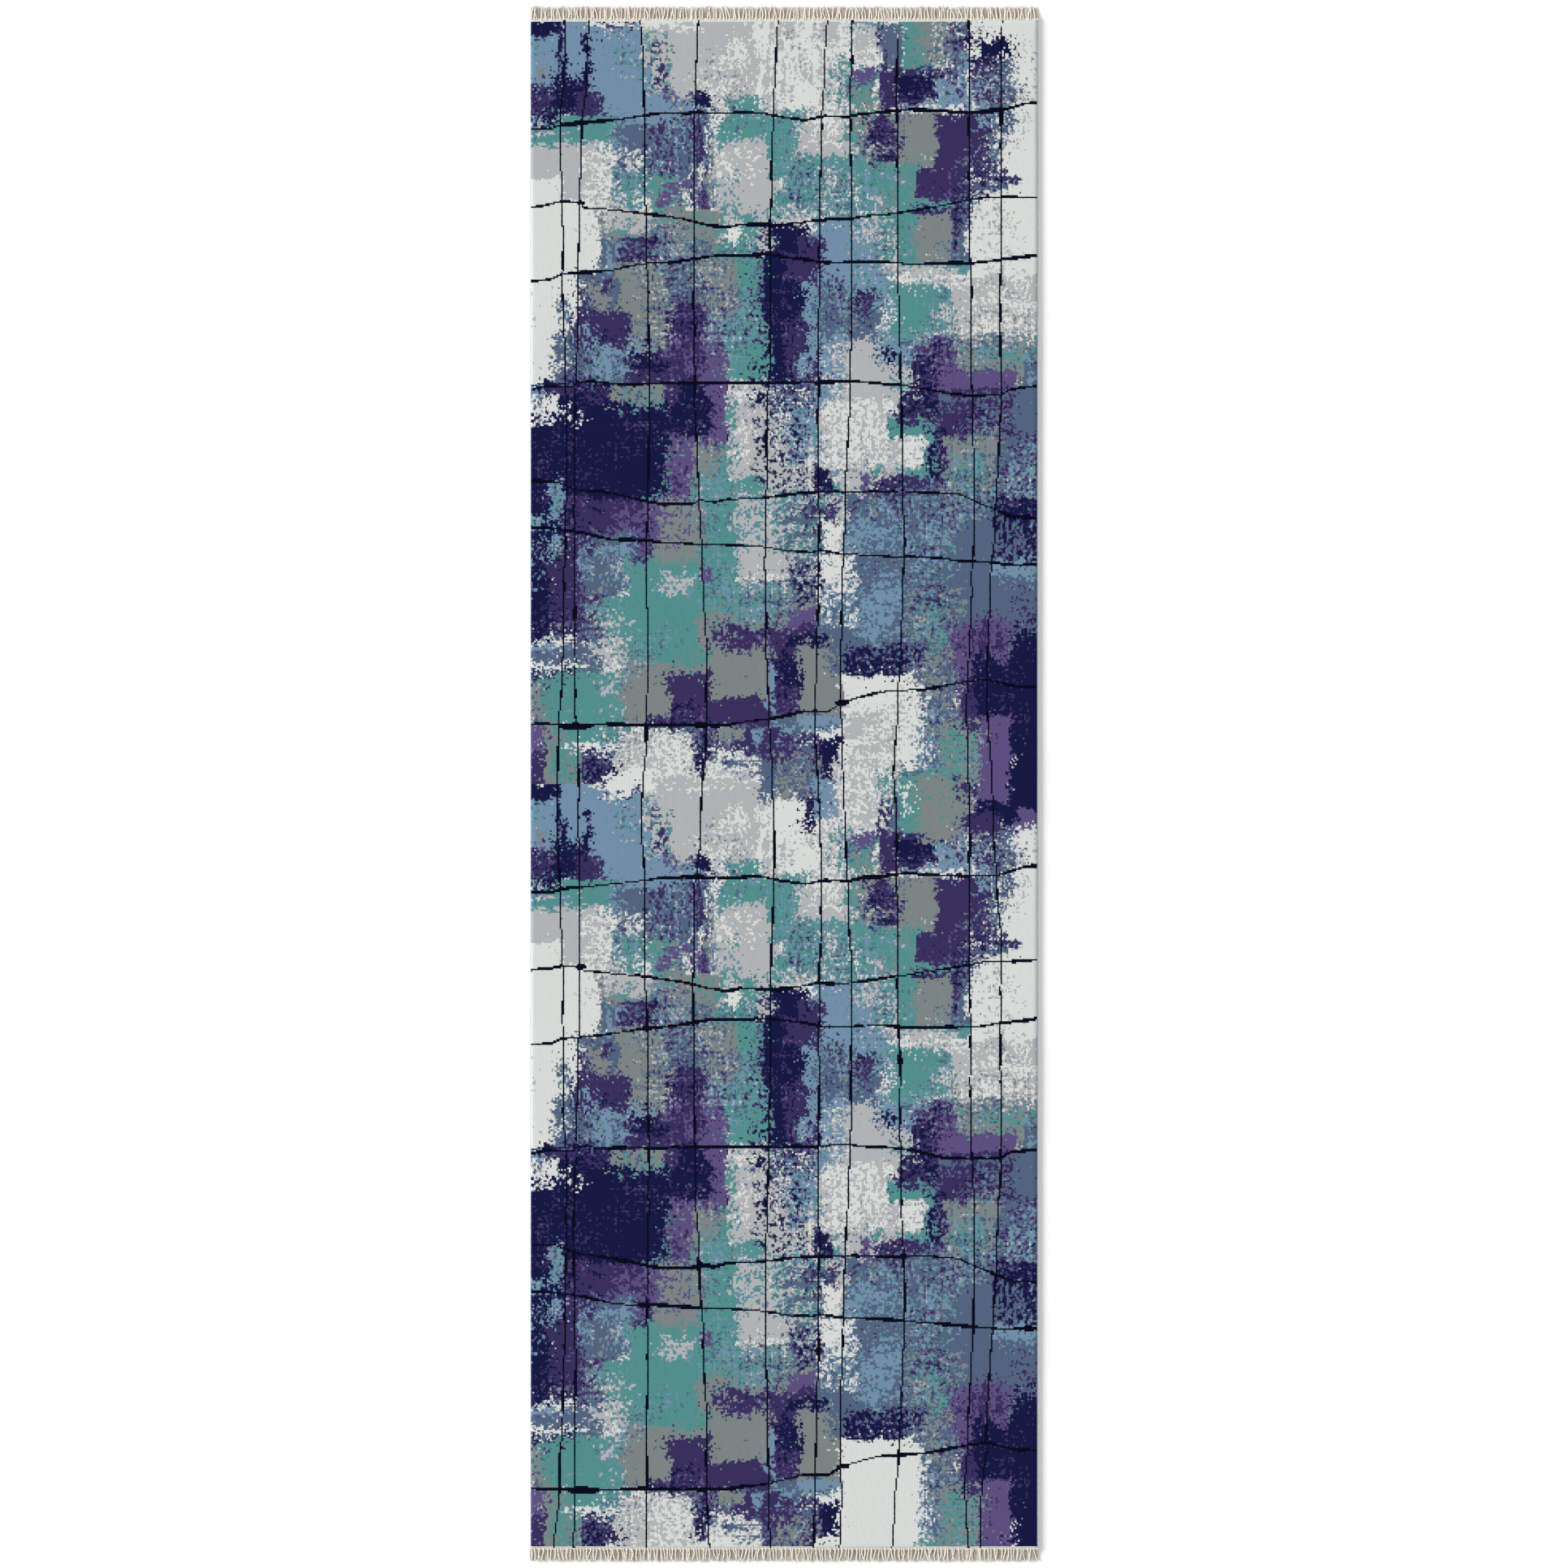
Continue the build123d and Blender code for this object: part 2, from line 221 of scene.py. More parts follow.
    ("navy", 35, 60, 43.5, 74.5, 0.3, 1.5, "speckle"), ("white", 47, 60, 58.5, 70.5, 1, 1.5),
    ("silver", 47.5, 59.5, 58.5, 70.5, 0.4, 1, "speckle"), ("teal", 57, 61.5, 64.5, 72.5, 1, 1),
    ("silver", 56.5, 66, 62.5, 70.5, 0.8, 1), ("white", 58, 65.5, 62.5, 70, 0.7, 1),
    ("navy", 44.5, 70.5, 47.5, 74.5, 1, 1), ("teal", 47.5, 70.5, 50, 75, 0.6, 1),
    ("silver", 49.5, 69.5, 58.5, 74, 0.9, 1), ("teal", 52.5, 69.5, 58.5, 74.5, 0.6, 1),
    ("purple", 52, 71, 55.5, 74, 0.75, 1), ("plum", 55, 72, 62.5, 74.5, 0.7, 1),
    ("plum", 58, 59, 66, 63.5, 0.75, 1), ("navy", 58.5, 59, 64, 62.5, 0.5, 1, "speckle"),
    ("slate", 64, 58.5, 82, 75.5, 1, 1), ("plum", 64, 59, 77, 66, 0.6, 2),
    ("plum", 64, 63.5, 69, 74, 0.5, 1.5, "speckle"), ("navy", 62, 64, 65.5, 72.5, 0.5, 1, "speckle"),
    ("sage", 65.5, 66, 73.5, 75, 1, 2), ("sage", 70.5, 64, 73.5, 68, 0.6, 1.5),
    ("teal", 66.5, 68, 71.5, 74.5, 0.5, 1.5), ("plum", 74, 64.5, 82, 75, 0.35, 1.5, "speckle"),
    ("steel", 75, 66.5, 82, 75, 0.4, 1.5, "speckle"), ("slate", 76.5, 58.5, 82, 64.5, 0.9, 1),
    # Fifth band, left
    ("navy", -2, 72, 10, 84, 1, 1), ("plum", 4.5, 75, 20, 86, 0.9, 1.5),
    ("purple", 12.5, 75.5, 21.5, 84.5, 0.6, 2), ("navy", 6, 73, 12, 81, 0.35, 2),
    ("steel", 3, 72.5, 5, 79, 0.85, 1), ("steel", -2, 78, 2, 80.5, 0.9, 0.7),
    ("slate", 10, 80, 17, 90, 0.8, 1.5), ("sage", 20, 76, 28, 86, 1, 1.5),
    ("purple", 19, 76, 24.5, 83, 0.35, 1.5, "speckle"), ("teal", 27, 75.5, 33.5, 91, 1, 1),
    ("silver", 32.5, 74.5, 39, 91, 1, 1), ("teal", 32.5, 72.5, 37.5, 83, 0.35, 1.5, "speckle"),
    # Fifth band, middle and right
    ("silver", 38, 75, 50, 91, 1, 1), ("teal", 38, 74.5, 47, 85, 0.5, 1.5, "speckle"),
    ("slate", 39.5, 75.5, 48.5, 86, 0.6, 1.5, "across"), ("plum", 43, 75.5, 49, 81, 0.5, 1, "speckle"),
    ("white", 46, 79, 49.5, 91, 0.7, 1), ("slate", 50, 74, 74.5, 91, 1, 1),
    ("plum", 50, 74, 60, 80.5, 0.25, 2, "speckle"), ("steel", 50, 79.5, 60, 84, 0.6, 2),
    ("steel", 50, 74.5, 68, 91, 0.25, 2), ("navy", 73.5, 75, 82, 85.5, 0.75, 1, "down"),
    ("slate", 73.5, 78, 77.5, 86, 0.5, 1, "down"), ("steel", 74.5, 76.5, 82, 84.5, 0.2, 1, "speckle"),
    ("steel", 73, 85, 82, 91, 0.7, 1.5),
    # Sixth band, left
    ("navy", -2, 80, 3.5, 98, 1, 1), ("steel", -2, 80, 3, 90, 0.25, 1, "speckle"),
    ("steel", 3, 80, 5, 86, 0.7, 1), ("plum", 3, 84.5, 9, 97, 0.9, 1.5),
    ("steel", 7.5, 81.5, 16, 87.5, 0.7, 2), ("slate", 8, 84.5, 14.5, 98, 0.85, 2),
    ("silver", 9, 84, 17, 90, 0.2, 2, "speckle"), ("plum", 7.5, 90, 12, 98, 0.4, 1.5, "speckle"),
    ("teal", 15.5, 85, 33, 101, 1, 2), ("silver", 21, 86.5, 27, 92.5, 0.7, 2),
    ("teal", 12, 90, 28.5, 101, 0.9, 1.5), ("silver", 12, 92.5, 16, 104, 0.5, 1.5, "speckle"),
    ("purple", 27, 86, 29, 88.5, 0.7, 1, "speckle"), ("silver", 33, 84, 42, 91.5, 0.9, 1.5),
    # Sixth band, middle
    ("sage", 26.5, 89.5, 45, 99, 0.85, 1.5), ("teal", 25, 88.5, 40, 93.5, 0.75, 1.5),
    ("plum", 30.5, 94, 38.5, 100.5, 0.75, 2), ("plum", 28, 94.5, 32, 99, 0.4, 1, "speckle"),
    ("purple", 40, 91.5, 45, 95.5, 0.85, 1), ("plum", 37.5, 95.5, 45.5, 99.5, 0.85, 1),
    ("slate", 40, 85, 45.5, 91, 0.6, 1.5, "speckle"), ("navy", 41, 85.5, 46, 91.5, 0.35, 1, "speckle"),
    ("white", 45, 84, 51.5, 96, 0.6, 1.5, "speckle"), ("slate", 45, 89, 51.5, 98, 0.4, 1.5, "speckle"),
    ("steel", 46, 88, 51, 96, 0.35, 1.5, "speckle"), ("slate", 45, 95, 52, 101, 0.8, 1.5),
    ("slate", 51, 88.5, 61.5, 101, 1, 1), ("steel", 51, 89, 59, 99, 0.5, 2.5),
    ("navy", 40, 97, 47, 98, 0.9, 0.6, "across"), ("sage", 28.5, 99, 38, 108, 1, 1.5),
    # Sixth band, right
    ("slate", 59.5, 88, 82, 105, 1, 1), ("sage", 60, 89.5, 68, 101, 0.5, 2),
    ("teal", 61, 90.5, 66, 99, 0.6, 1.5, "speckle"), ("slate", 68, 88, 75, 95, 0.6, 1.5, "speckle"),
    ("purple", 65.5, 94.5, 76.5, 104, 1, 2), ("plum", 66, 95, 76, 102.5, 0.35, 2, "speckle"),
    ("plum", 69, 94, 74, 104, 0.4, 1.5, "down"), ("slate", 75, 90, 77, 100, 0.6, 1, "down"),
    ("plum", 75.5, 89, 82, 96, 0.3, 1.5, "speckle"), ("navy", 76, 95.5, 82, 122, 1, 1),
    ("navy", 69, 100.5, 79, 110.5, 1, 1.5),
    # Seventh band, left
    ("slate", -2, 98, 11, 104, 1, 1), ("steel", -2, 96, 6.5, 99, 0.6, 1, "across"),
    ("white", -2, 96.5, 6, 98, 0.5, 1, "across"), ("white", -2, 101, 9.5, 102, 0.85, 0.7, "across"),
    ("navy", -2, 102, 7, 104, 0.85, 1, "across"), ("sage", -2, 104, 6, 111, 0.9, 1),
    ("teal", 2, 102.5, 16.5, 111, 0.9, 2), ("silver", 10.5, 98.5, 15.5, 110, 0.25, 1.5, "speckle"),
    ("silver", 9.5, 97.5, 14, 101, 0.5, 1.5, "speckle"), ("slate", -2, 104, 2, 111, 0.4, 1, "speckle"),
    ("sage", 15, 101, 23, 110.5, 1, 2), ("plum", 22, 102.5, 28.5, 110.5, 1, 0.7),
    ("plum", 18.5, 109, 30, 111, 1, 0.7, "across"), ("plum", 28, 106.5, 38, 111.5, 0.9, 1),
    # Seventh band, middle
    ("plum", 38, 98.5, 43, 109, 0.9, 1), ("navy", 39, 99, 43, 104.5, 0.85, 1.5),
    ("steel", 37.5, 101, 39, 111, 0.7, 1, "down"), ("sage", 42.5, 98, 49, 109, 1, 1),
    ("slate", 47.5, 97, 62, 104, 0.85, 1), ("navy", 49.5, 98.5, 61.5, 103.5, 0.7, 1, "speckle"),
    ("slate", 60, 101, 67, 118, 0.9, 1.5), ("white", 49, 103, 61, 122, 1, 0.7),
    ("silver", 49.5, 108, 57.5, 119, 0.5, 2), ("silver", 50, 109, 58, 118, 0.35, 1.5, "across"),
    ("silver", 60.5, 99.5, 66, 108, 0.2, 2, "speckle"), ("sage", 62.5, 99, 67.5, 108, 0.5, 2),
    ("steel", 60.5, 108, 67, 118, 0.4, 1.5, "speckle"), ("white", 60.5, 105, 63, 118, 0.4, 1, "speckle"),
    ("purple", 66.5, 100, 69.5, 112, 0.85, 1.5), ("plum", 67.5, 104.5, 70.5, 109.5, 0.85, 1),
    # Last band, left
    ("purple", -2, 111, 3, 115, 0.85, 1), ("plum", -2, 114.5, 3, 122, 0.85, 1),
    ("sage", 2.5, 110.5, 8.5, 122, 1, 1), ("teal", 3.5, 110.5, 8, 122, 0.6, 1, "speckle"),
    ("teal", 6.5, 111, 14.5, 114, 0.9, 1), ("plum", 8, 114.5, 15, 120.5, 1, 1),
    ("slate", 8, 115, 15, 119.5, 0.5, 1, "speckle"), ("navy", 8, 115.5, 14.5, 120, 0.5, 1, "speckle"),
    ("white", 6, 113.5, 14, 115, 0.75, 1, "across"), ("white", 14, 111, 19, 122, 1, 1),
    ("silver", 14, 112.5, 22, 122, 0.9, 1), ("slate", 15, 111, 26, 112, 0.6, 1, "across"),
    ("white", 19, 112, 38, 122, 1, 1.5), ("silver", 18.5, 112, 37, 122, 0.4, 1, "speckle"),
    # Last band, middle
    ("slate", 28, 111, 40, 116, 0.9, 1), ("plum", 28.5, 111, 38.5, 115.5, 0.75, 1.5),
    ("sage", 29, 111, 33, 113, 0.8, 1), ("slate", 25, 111, 28.5, 117, 0.8, 1, "down"),
    ("plum", 26, 111, 28.5, 118.5, 0.7, 1, "down"), ("navy", 26.5, 114, 28, 119, 0.8, 1, "down"),
    ("steel", 34.5, 111, 41.5, 114, 0.8, 1), ("white", 28.5, 114.5, 34, 122, 0.85, 1.5),
    ("slate", 30, 116, 36.5, 119, 0.5, 1, "across"), ("slate", 36.5, 113.5, 46, 122, 0.85, 1),
    ("plum", 36.5, 111.5, 46, 122, 0.5, 1.5), ("sage", 38, 115, 45.5, 122, 0.4, 1.5, "speckle"),
    ("steel", 42, 109, 49, 112, 0.7, 1, "across"), ("white", 45, 111, 49, 113.5, 0.85, 0.7, "across"),
    ("navy", 45, 112.5, 49, 122, 1, 1), ("white", 48.5, 114, 50.5, 122, 0.85, 1),
    ("teal", 58, 118, 70, 122, 0.85, 1.5),
    # Last band, right
    ("sage", 64.5, 110, 72, 122, 0.9, 1.5), ("teal", 65, 111, 71, 122, 0.6, 1.5, "speckle"),
    ("plum", 67, 109, 71, 112, 0.6, 1), ("purple", 71, 109.5, 76, 122, 1, 1),
)

# Strokes that join the two repeats and close the ends, placed down the whole rug
JOINING_STROKES = (
    ("steel", 5, 120.5, 12, 124, 1, 0.4), ("white", 12, 118, 19, 121.5, 1, 1, "across"),
    ("plum", 11.5, 121, 17.5, 122, 0.6, 1, "across"), ("silver", 19.5, 119, 37, 124, 1, 1),
    ("white", 19, 118.5, 37, 121, 0.35, 1, "across"), ("sage", 37.5, 118, 46, 122, 0.85, 1.5),
    ("slate", 36, 116, 46, 122, 0.5, 1.5, "speckle"), ("slate", 36, 116, 38.5, 123.5, 0.85, 1, "down"),
    ("white", 38, 122.5, 43.5, 129, 0.85, 1.5), ("steel", 44.5, 119, 48, 125.5, 1, 1, "down"),
    ("plum", 43, 121, 45, 128, 0.7, 1, "down"), ("navy", 43.5, 122, 45, 127, 0.8, 1, "down"),
    ("silver", 48, 116.5, 58, 126.5, 1, 1.5), ("white", 48, 116.5, 57, 126.5, 0.5, 1.5, "speckle"),
    ("teal", 54.5, 118.5, 58, 122.5, 0.6, 1), ("slate", 56.5, 120.5, 59, 127, 0.9, 1, "down"),
    ("plum", 54.5, 122, 56.5, 128, 0.5, 1, "speckle"), ("teal", 58, 118, 69, 126.5, 1, 1),
    ("sage", 61, 119, 71, 129, 0.75, 2), ("white", 59, 119.5, 60, 125, 0.8, 0.6, "down"),
    ("slate", 57.5, 117.5, 62, 118.5, 0.8, 0.5, "across"), ("plum", 66.5, 119.5, 70.5, 122, 0.6, 1),
    ("purple", 70.5, 117.5, 76, 124.5, 1, 1), ("navy", 75.5, 116, 82, 124.5, 1, 1),
    ("purple", 75.5, 124, 82, 127, 1, 1), ("navy", 70.5, 123, 77, 126, 1, 1, "across"),
    ("plum", 68.5, 125, 74, 127.5, 0.7, 1), ("white", 49, 224, 61, 242, 1, 1),
    ("white", 44.5, 238.5, 50, 242, 1, 0.4, "across"),
)

# The long wandering lines down the rug, as (down, across) in cm: at the far end, along the repeat,
# across the middle of the rug, and at the near end.
UPRIGHTS = (
    (((0, 5.6), (10, 5.5)),
     ((15, 4.9), (20, 4.9), (30, 5.2), (50, 5.4), (60, 5.8), (75, 5.8), (90, 5.5), (100, 5.2), (107, 4.8)),
     ((111, 4.6), (120, 4.4), (131, 4.5)), ((231, 4.6), (240, 3.9))),
    (((0, 9.4), (5, 9.1), (10, 9.0), (16, 8.3)),
     ((25, 7.9), (45, 7.7), (55, 7.3), (70, 7.0), (90, 7.3), (109, 7.1)),
     ((111, 7.7), (120, 7.7), (135, 7.8)), ((231, 7.1), (240, 7.1))),
    (((0, 17.5), (5, 17.7)),
     ((15, 18.1), (25, 18.0), (40, 18.6), (60, 18.8), (80, 18.5), (107, 18.5)),
     ((115, 18.3), (120, 17.9), (125, 17.7), (131, 17.8)), ((235, 18.4), (240, 18.4))),
    (((0, 26.7), (5, 26.3)),
     ((15, 26.0), (30, 25.8), (45, 25.9), (60, 26.0), (70, 26.4), (80, 26.9), (90, 27.4), (100, 27.8)),
     ((110, 27.8), (118, 27.3), (125, 26.9), (131, 26.6)), ((232, 27.8), (240, 28.4))),
    (((0, 39.0), (10, 38.5)),
     ((20, 38.2), (30, 37.9), (50, 37.8), (70, 37.2), (90, 37.1), (105, 37.5)),
     ((110, 37.8), (120, 38.1), (131, 38.6)), ((235, 37.7), (240, 37.9))),
    (((0, 46.8), (10, 46.3)),
     ((18, 45.8), (30, 45.6), (60, 45.4), (85, 45.5), (100, 45.1)),
     ((108, 44.8), (120, 45.3), (131, 45.8)), ((230, 44.9), (240, 44.7))),
    (((0, 50.7), (15, 50.4)),
     ((30, 50.6), (50, 50.6), (60, 50.4), (70, 49.8), (84, 49.3), (95, 49.0), (105, 48.8)),
     ((115, 49.1), (125, 49.6), (133, 49.8)), ((232, 49.1), (240, 48.7))),
    (((3, 57.8),),
     ((15, 57.8), (30, 57.8), (50, 58.2), (70, 58.6), (85, 59.0), (95, 58.5), (105, 58.0)),
     ((110, 57.8), (118, 57.2), (124, 57.6)), ((235, 57.3), (240, 57.0))),
    (((0, 69.0),),
     ((30, 69.1), (50, 69.3), (70, 69.8), (80, 69.9), (90, 69.5), (100, 69.0), (108, 68.6)),
     ((115, 68.8), (120, 69.1), (131, 69.2)), ((232, 68.5), (240, 69.0))),
    (((0, 74.2), (15, 74.2)),
     ((25, 74.1), (40, 74.0), (60, 74.0), (75, 73.4), (90, 72.4), (105, 71.8)),
     ((110, 72.0), (120, 72.7), (131, 73.1)), ((232, 71.0), (240, 70.9))),
)
# The lines that cross them: how far across the rug, and how far down the repeat, in cm.
CROSSERS = (
    ((0, 17.1), (3.5, 17.1), (5, 16.5), (12, 15.8), (18, 15.1), (21, 14.7), (36, 14.6), (40, 15.3),
     (43.5, 15.7), (46.5, 15.1), (50, 15.2), (52, 14.7), (60, 14.1), (69, 14.5), (74, 14.2), (78, 13.0),
     (80, 12.9)),
    ((0, 29.3), (3, 29.0), (5, 28.5), (8, 28.6), (8.5, 29.3), (18, 30.3), (24, 31.1), (28, 32.2),
     (31, 32.6), (33, 32.1), (39, 32.3), (45, 31.4), (50, 31.3), (58, 30.2), (64, 29.2), (72, 27.8),
     (80, 27.8)),
    ((0, 41.0), (3.5, 40.8), (5, 40.0), (10, 39.6), (18, 38.4), (23, 38.0), (28, 37.2), (38, 36.9),
     (43, 37.6), (46, 38.1), (56, 37.9), (60, 38.4), (70, 38.1), (78, 37.1), (80, 36.8)),
    ((0, 58.2), (2.5, 57.5), (7, 57.6), (7.6, 56.8), (15, 57.2), (31, 56.9), (38, 57.1), (50, 56.7),
     (59, 57.4), (65, 58.6), (69, 58.9), (74, 58.7), (75.5, 57.9), (80, 57.5)),
    ((0, 72.4), (4, 72.4), (8, 73.9), (12, 74.2), (18, 75.5), (21, 76.1), (25.5, 76.1), (27, 75.5),
     (29, 75.8), (31, 75.3), (37, 75.0), (43, 74.2), (59, 74.0), (67.5, 74.5), (71, 76.1),
     (76, 78.1), (80, 78.2)),
    ((0, 79.7), (4, 79.9), (9, 80.7), (13, 81.6), (27, 82.3), (36, 82.7), (41, 83.5), (44.5, 83.7),
     (45.5, 83.3), (49, 83.8), (60, 84.4), (70, 85.2), (75, 85.5), (80, 85.5)),
    ((0, 110.6), (27, 110.8), (31, 110.7), (34, 110.2), (38, 109.8), (43, 108.6), (47, 108.6),
     (49, 107.3), (52, 106.3), (55, 105.5), (62, 105.2), (69, 103.8), (72, 103.6), (77, 104.6),
     (80, 104.8)),
)
# Where the lines' paint has pooled: across the rug, down the repeat, half the length, half the width
POOLS = ((7.8, 110.9, 2.2, 0.5), (17.6, 110.8, 2.4, 0.42), (27.2, 110.8, 1.8, 0.45), (49, 107.2, 1.0, 0.4),
         (26, 14.6, 2.6, 0.25), (8.2, 28.7, 0.6, 0.3), (44.8, 108.6, 0.8, 0.25))

# Each brush mixes a few grains, given as cm across, cm down and weight.
BRUSHES = {
    "speckle": ((0.13, 0.13, 1.0), (0.25, 0.25, 0.5)),
    "blotch": ((0.1, 0.1, 0.9), (0.24, 0.24, 0.7), (1.1, 1.1, 0.7)),
    "down": ((0.1, 0.16, 0.9), (0.18, 1.4, 0.9)),
    "across": ((0.16, 0.1, 0.9), (1.4, 0.18, 0.9)),
}
SOFTNESS = 0.3  # how much of a brush's grain lets the colour under it through
WANDER = 0.3  # how far a stroke's edges wander, in cm
WANDER_GRAIN = 1.2
FRAY = 0.2  # how far they fray
FRAY_GRAIN = 0.18
SPRAYED = 0.32  # share of the knots that take their colour from a little way off
SPRAY = 0.85  # how far off, in cm
KNOT_GRAIN = 0.13  # noise that changes from knot to knot
PATCH_GRAIN = 3  # and from one patch of the design to the next
# How much goes on in a patch: usually, how much that varies, at least and at most
SPRAY_PATCHES = (1, 0.7, 0.1, 2.5)
DYE_PATCHES = (0.6, 0.6, 0.05, 1.8)
# How far a knot's dye is off, in steps of 255
STREAKS = 5
STREAK_LONG, STREAK_WIDE = 1.6, 0.15
SPECKLES = 11
SPECKLE_GRAIN = 0.1
TINTS = 5
LINE = 0.11  # half the width of an upright line, in cm
CROSS_LINE = 0.21  # half the width of a line across
LINE_SWELL = 0.07  # how much the lines swell
SWELL_GRAIN = 1.0
LINE_WANDER = 0.06  # how much they wander
LINE_WANDER_GRAIN = 1.6
POOL_SWELL = 4  # how much more the pools' edges swell
OFF_RUG = -1
END_ROWS = 1  # plain rows at each end of the rug


def noise(rng, shape, across, down=None):
    """Smooth noise that joins up at its edges, with grains of that many cm."""
    rows, columns = shape
    wave = np.fft.rfft2(rng.standard_normal(shape))
    along_v = np.fft.fftfreq(rows)[:, None] * (down or across) * KNOTS_PER_CM
    along_u = np.fft.rfftfreq(columns)[None, :] * across * KNOTS_PER_CM
    smooth = np.exp(-TURN**2 / 2 * (along_u**2 + along_v**2))
    field = np.fft.irfft2(wave * smooth, shape)
    return field / field.std()


def patches(rng, shape, usual, varies, least, most):
    """Slow noise, for how much goes on in each patch of the design."""
    return np.clip(usual + varies * noise(rng, shape, PATCH_GRAIN), least, most)


def evened(field):
    """The field's ranks, spread evenly from 0 to 1."""
    ranks = np.empty(field.size)
    ranks[np.argsort(field, axis=None)] = np.arange(field.size) / field.size
    return ranks.reshape(field.shape)


def knot_places(shape):
    """How far down and across each knot is, in cm."""
    return (np.mgrid[0 : shape[0], 0 : shape[1]] + 0.5) / KNOTS_PER_CM


def paint(canvas, strokes, rng):
    """Paints the strokes over each other, each through its brush's grain."""
    shape = canvas.shape[:2]
    busy = patches(rng, shape, *SPRAY_PATCHES)
    sprayed = evened(noise(rng, shape, KNOT_GRAIN)) < SPRAYED * busy
    places = []
    for place in knot_places(shape):
        place = place + WANDER * noise(rng, shape, WANDER_GRAIN) + FRAY * noise(rng, shape, FRAY_GRAIN)
        places.append(place + SPRAY * sprayed * noise(rng, shape, KNOT_GRAIN))
    v, u = places
    grains = {}
    for name, mix in BRUSHES.items():
        grains[name] = evened(sum(weight * noise(rng, shape, across, down) for across, down, weight in mix))
    for stroke in strokes:
        name, left, top, right, bottom, cover, rag, brush = (*stroke, "blotch")[:8]
        inside = np.minimum.reduce([u - left, right - u, v - top, bottom - v])
        reach = cover * np.clip(0.5 + inside / rag, 0, 1)
        shift = (rng.integers(0, shape[0]), rng.integers(0, shape[1]))
        grain = np.roll(grains[brush], shift, (0, 1))
        alpha = np.clip((reach * (1 + SOFTNESS) - grain) / SOFTNESS, 0, 1)
        canvas += (COLOURS[YARN_NAMES.index(name)] - canvas) * alpha[..., None]


def unevenness(shape, rng):
    """How far the dye of each knot is off: streaks both ways, and a speckle, more in some places."""
    busy = patches(rng, shape, *DYE_PATCHES)
    streaks = noise(rng, shape, STREAK_LONG, STREAK_WIDE) + noise(rng, shape, STREAK_WIDE, STREAK_LONG)
    speckle = noise(rng, shape, SPECKLE_GRAIN)
    tint = np.stack([noise(rng, shape, KNOT_GRAIN) for _ in range(3)], axis=-1)
    return ((STREAKS * streaks + SPECKLES * speckle)[..., None] + TINTS * tint) * busy[..., None]


def draw_line(design, knot, line, half):
    """Blackens the knots within half of a line, and always the nearest one."""
    nearest = np.abs(knot - line) <= 0.5 / KNOTS_PER_CM
    design[nearest | (np.abs(knot - line) < half)] = BLACK


def draw_lines(design, rng):
    """The long black lines, one or two knots wide, over the whole rug."""
    shape = design.shape
    v, u = knot_places(shape)
    swell = LINE_SWELL * noise(rng, shape, SWELL_GRAIN)
    wander = LINE_WANDER * noise(rng, shape, LINE_WANDER_GRAIN)
    for far, along, middle, near in UPRIGHTS:
        again = [(down + REPEAT_LENGTH, across) for down, across in along]
        line_v, line_u = np.transpose([*far, *along, *middle, *again, *near])
        line = np.interp(v[:, 0], line_v, line_u)[:, None] + wander
        draw_line(design, u, np.where(v > line_v[0], line, OFF_RUG), LINE + swell)
    for repeat in range(REPEATS):
        for points in CROSSERS:
            line_u, line_v = np.transpose(points)
            line = np.interp(u[0], line_u, line_v)[None, :] + wander + repeat * REPEAT_LENGTH
            draw_line(design, v, line, CROSS_LINE + swell)
        for across, down, half_length, half_width in POOLS:
            off = np.hypot((u - across) / half_length, (v - down - repeat * REPEAT_LENGTH) / half_width)
            design[off + POOL_SWELL * swell < 1] = BLACK


def rug_design(rows, columns):
    """The yarn of every knot, from the far left corner."""
    rng = np.random.default_rng(SEEDS["design"])
    repeat = np.zeros((REPEAT_LENGTH * KNOTS_PER_CM, REPEAT_WIDTH * KNOTS_PER_CM, 3))
    paint(repeat, STROKES, rng)
    canvas = np.tile(repeat + unevenness(repeat.shape[:2], rng), (REPEATS, 1, 1))
    paint(canvas, JOINING_STROKES, rng)
    distance = ((canvas[..., None, :] - COLOURS[:BLACK]) ** 2).sum(axis=-1)
    design = distance.argmin(axis=-1)
    draw_lines(design, rng)
    margin = (design.shape[1] - columns) // 2
    design = design[:rows, margin : margin + columns]
    for edge in (slice(0, END_ROWS), slice(rows - END_ROWS, rows)):
        plain = design[edge] != BLACK
        design[edge][plain] = YARN_NAMES.index("white")
    return design


# The light that the pile's fibres scatter over its colour, as a share of white
VEIL = 0.0015
DARKEST = 0.001  # so that no dye is quite black
# The dark end of these is also reached by the painted shade in the gaps between the knots and by the painted
# shading of the slow drift
FIBRE_AND_SHADE_GAINS = (0.84, 1.12)  # the pile's darkest and lightest fibre, as shares of its yarn's colour
KNOT = 2.5 * MM  # one knot of the pile, across and along
SHEEN_ROUGHNESS = 0.45
WAVE_BANDS = 20  # a wave texture of scale 1 turns by this many radians in a metre


def linear(colour, gain=1.0, veil=0.0):
    """An sRGB colour, 0 to 255, as the linear colour that a shader takes, less the light that veils it."""
    parts = [c / 255 for c in colour]
    parts = [p / 12.92 if p <= 0.04045 else ((p + 0.055) / 1.055) ** 2.4 for p in parts]
    return tuple(gain * max(p - veil, DARKEST) for p in parts) + (1.0,)


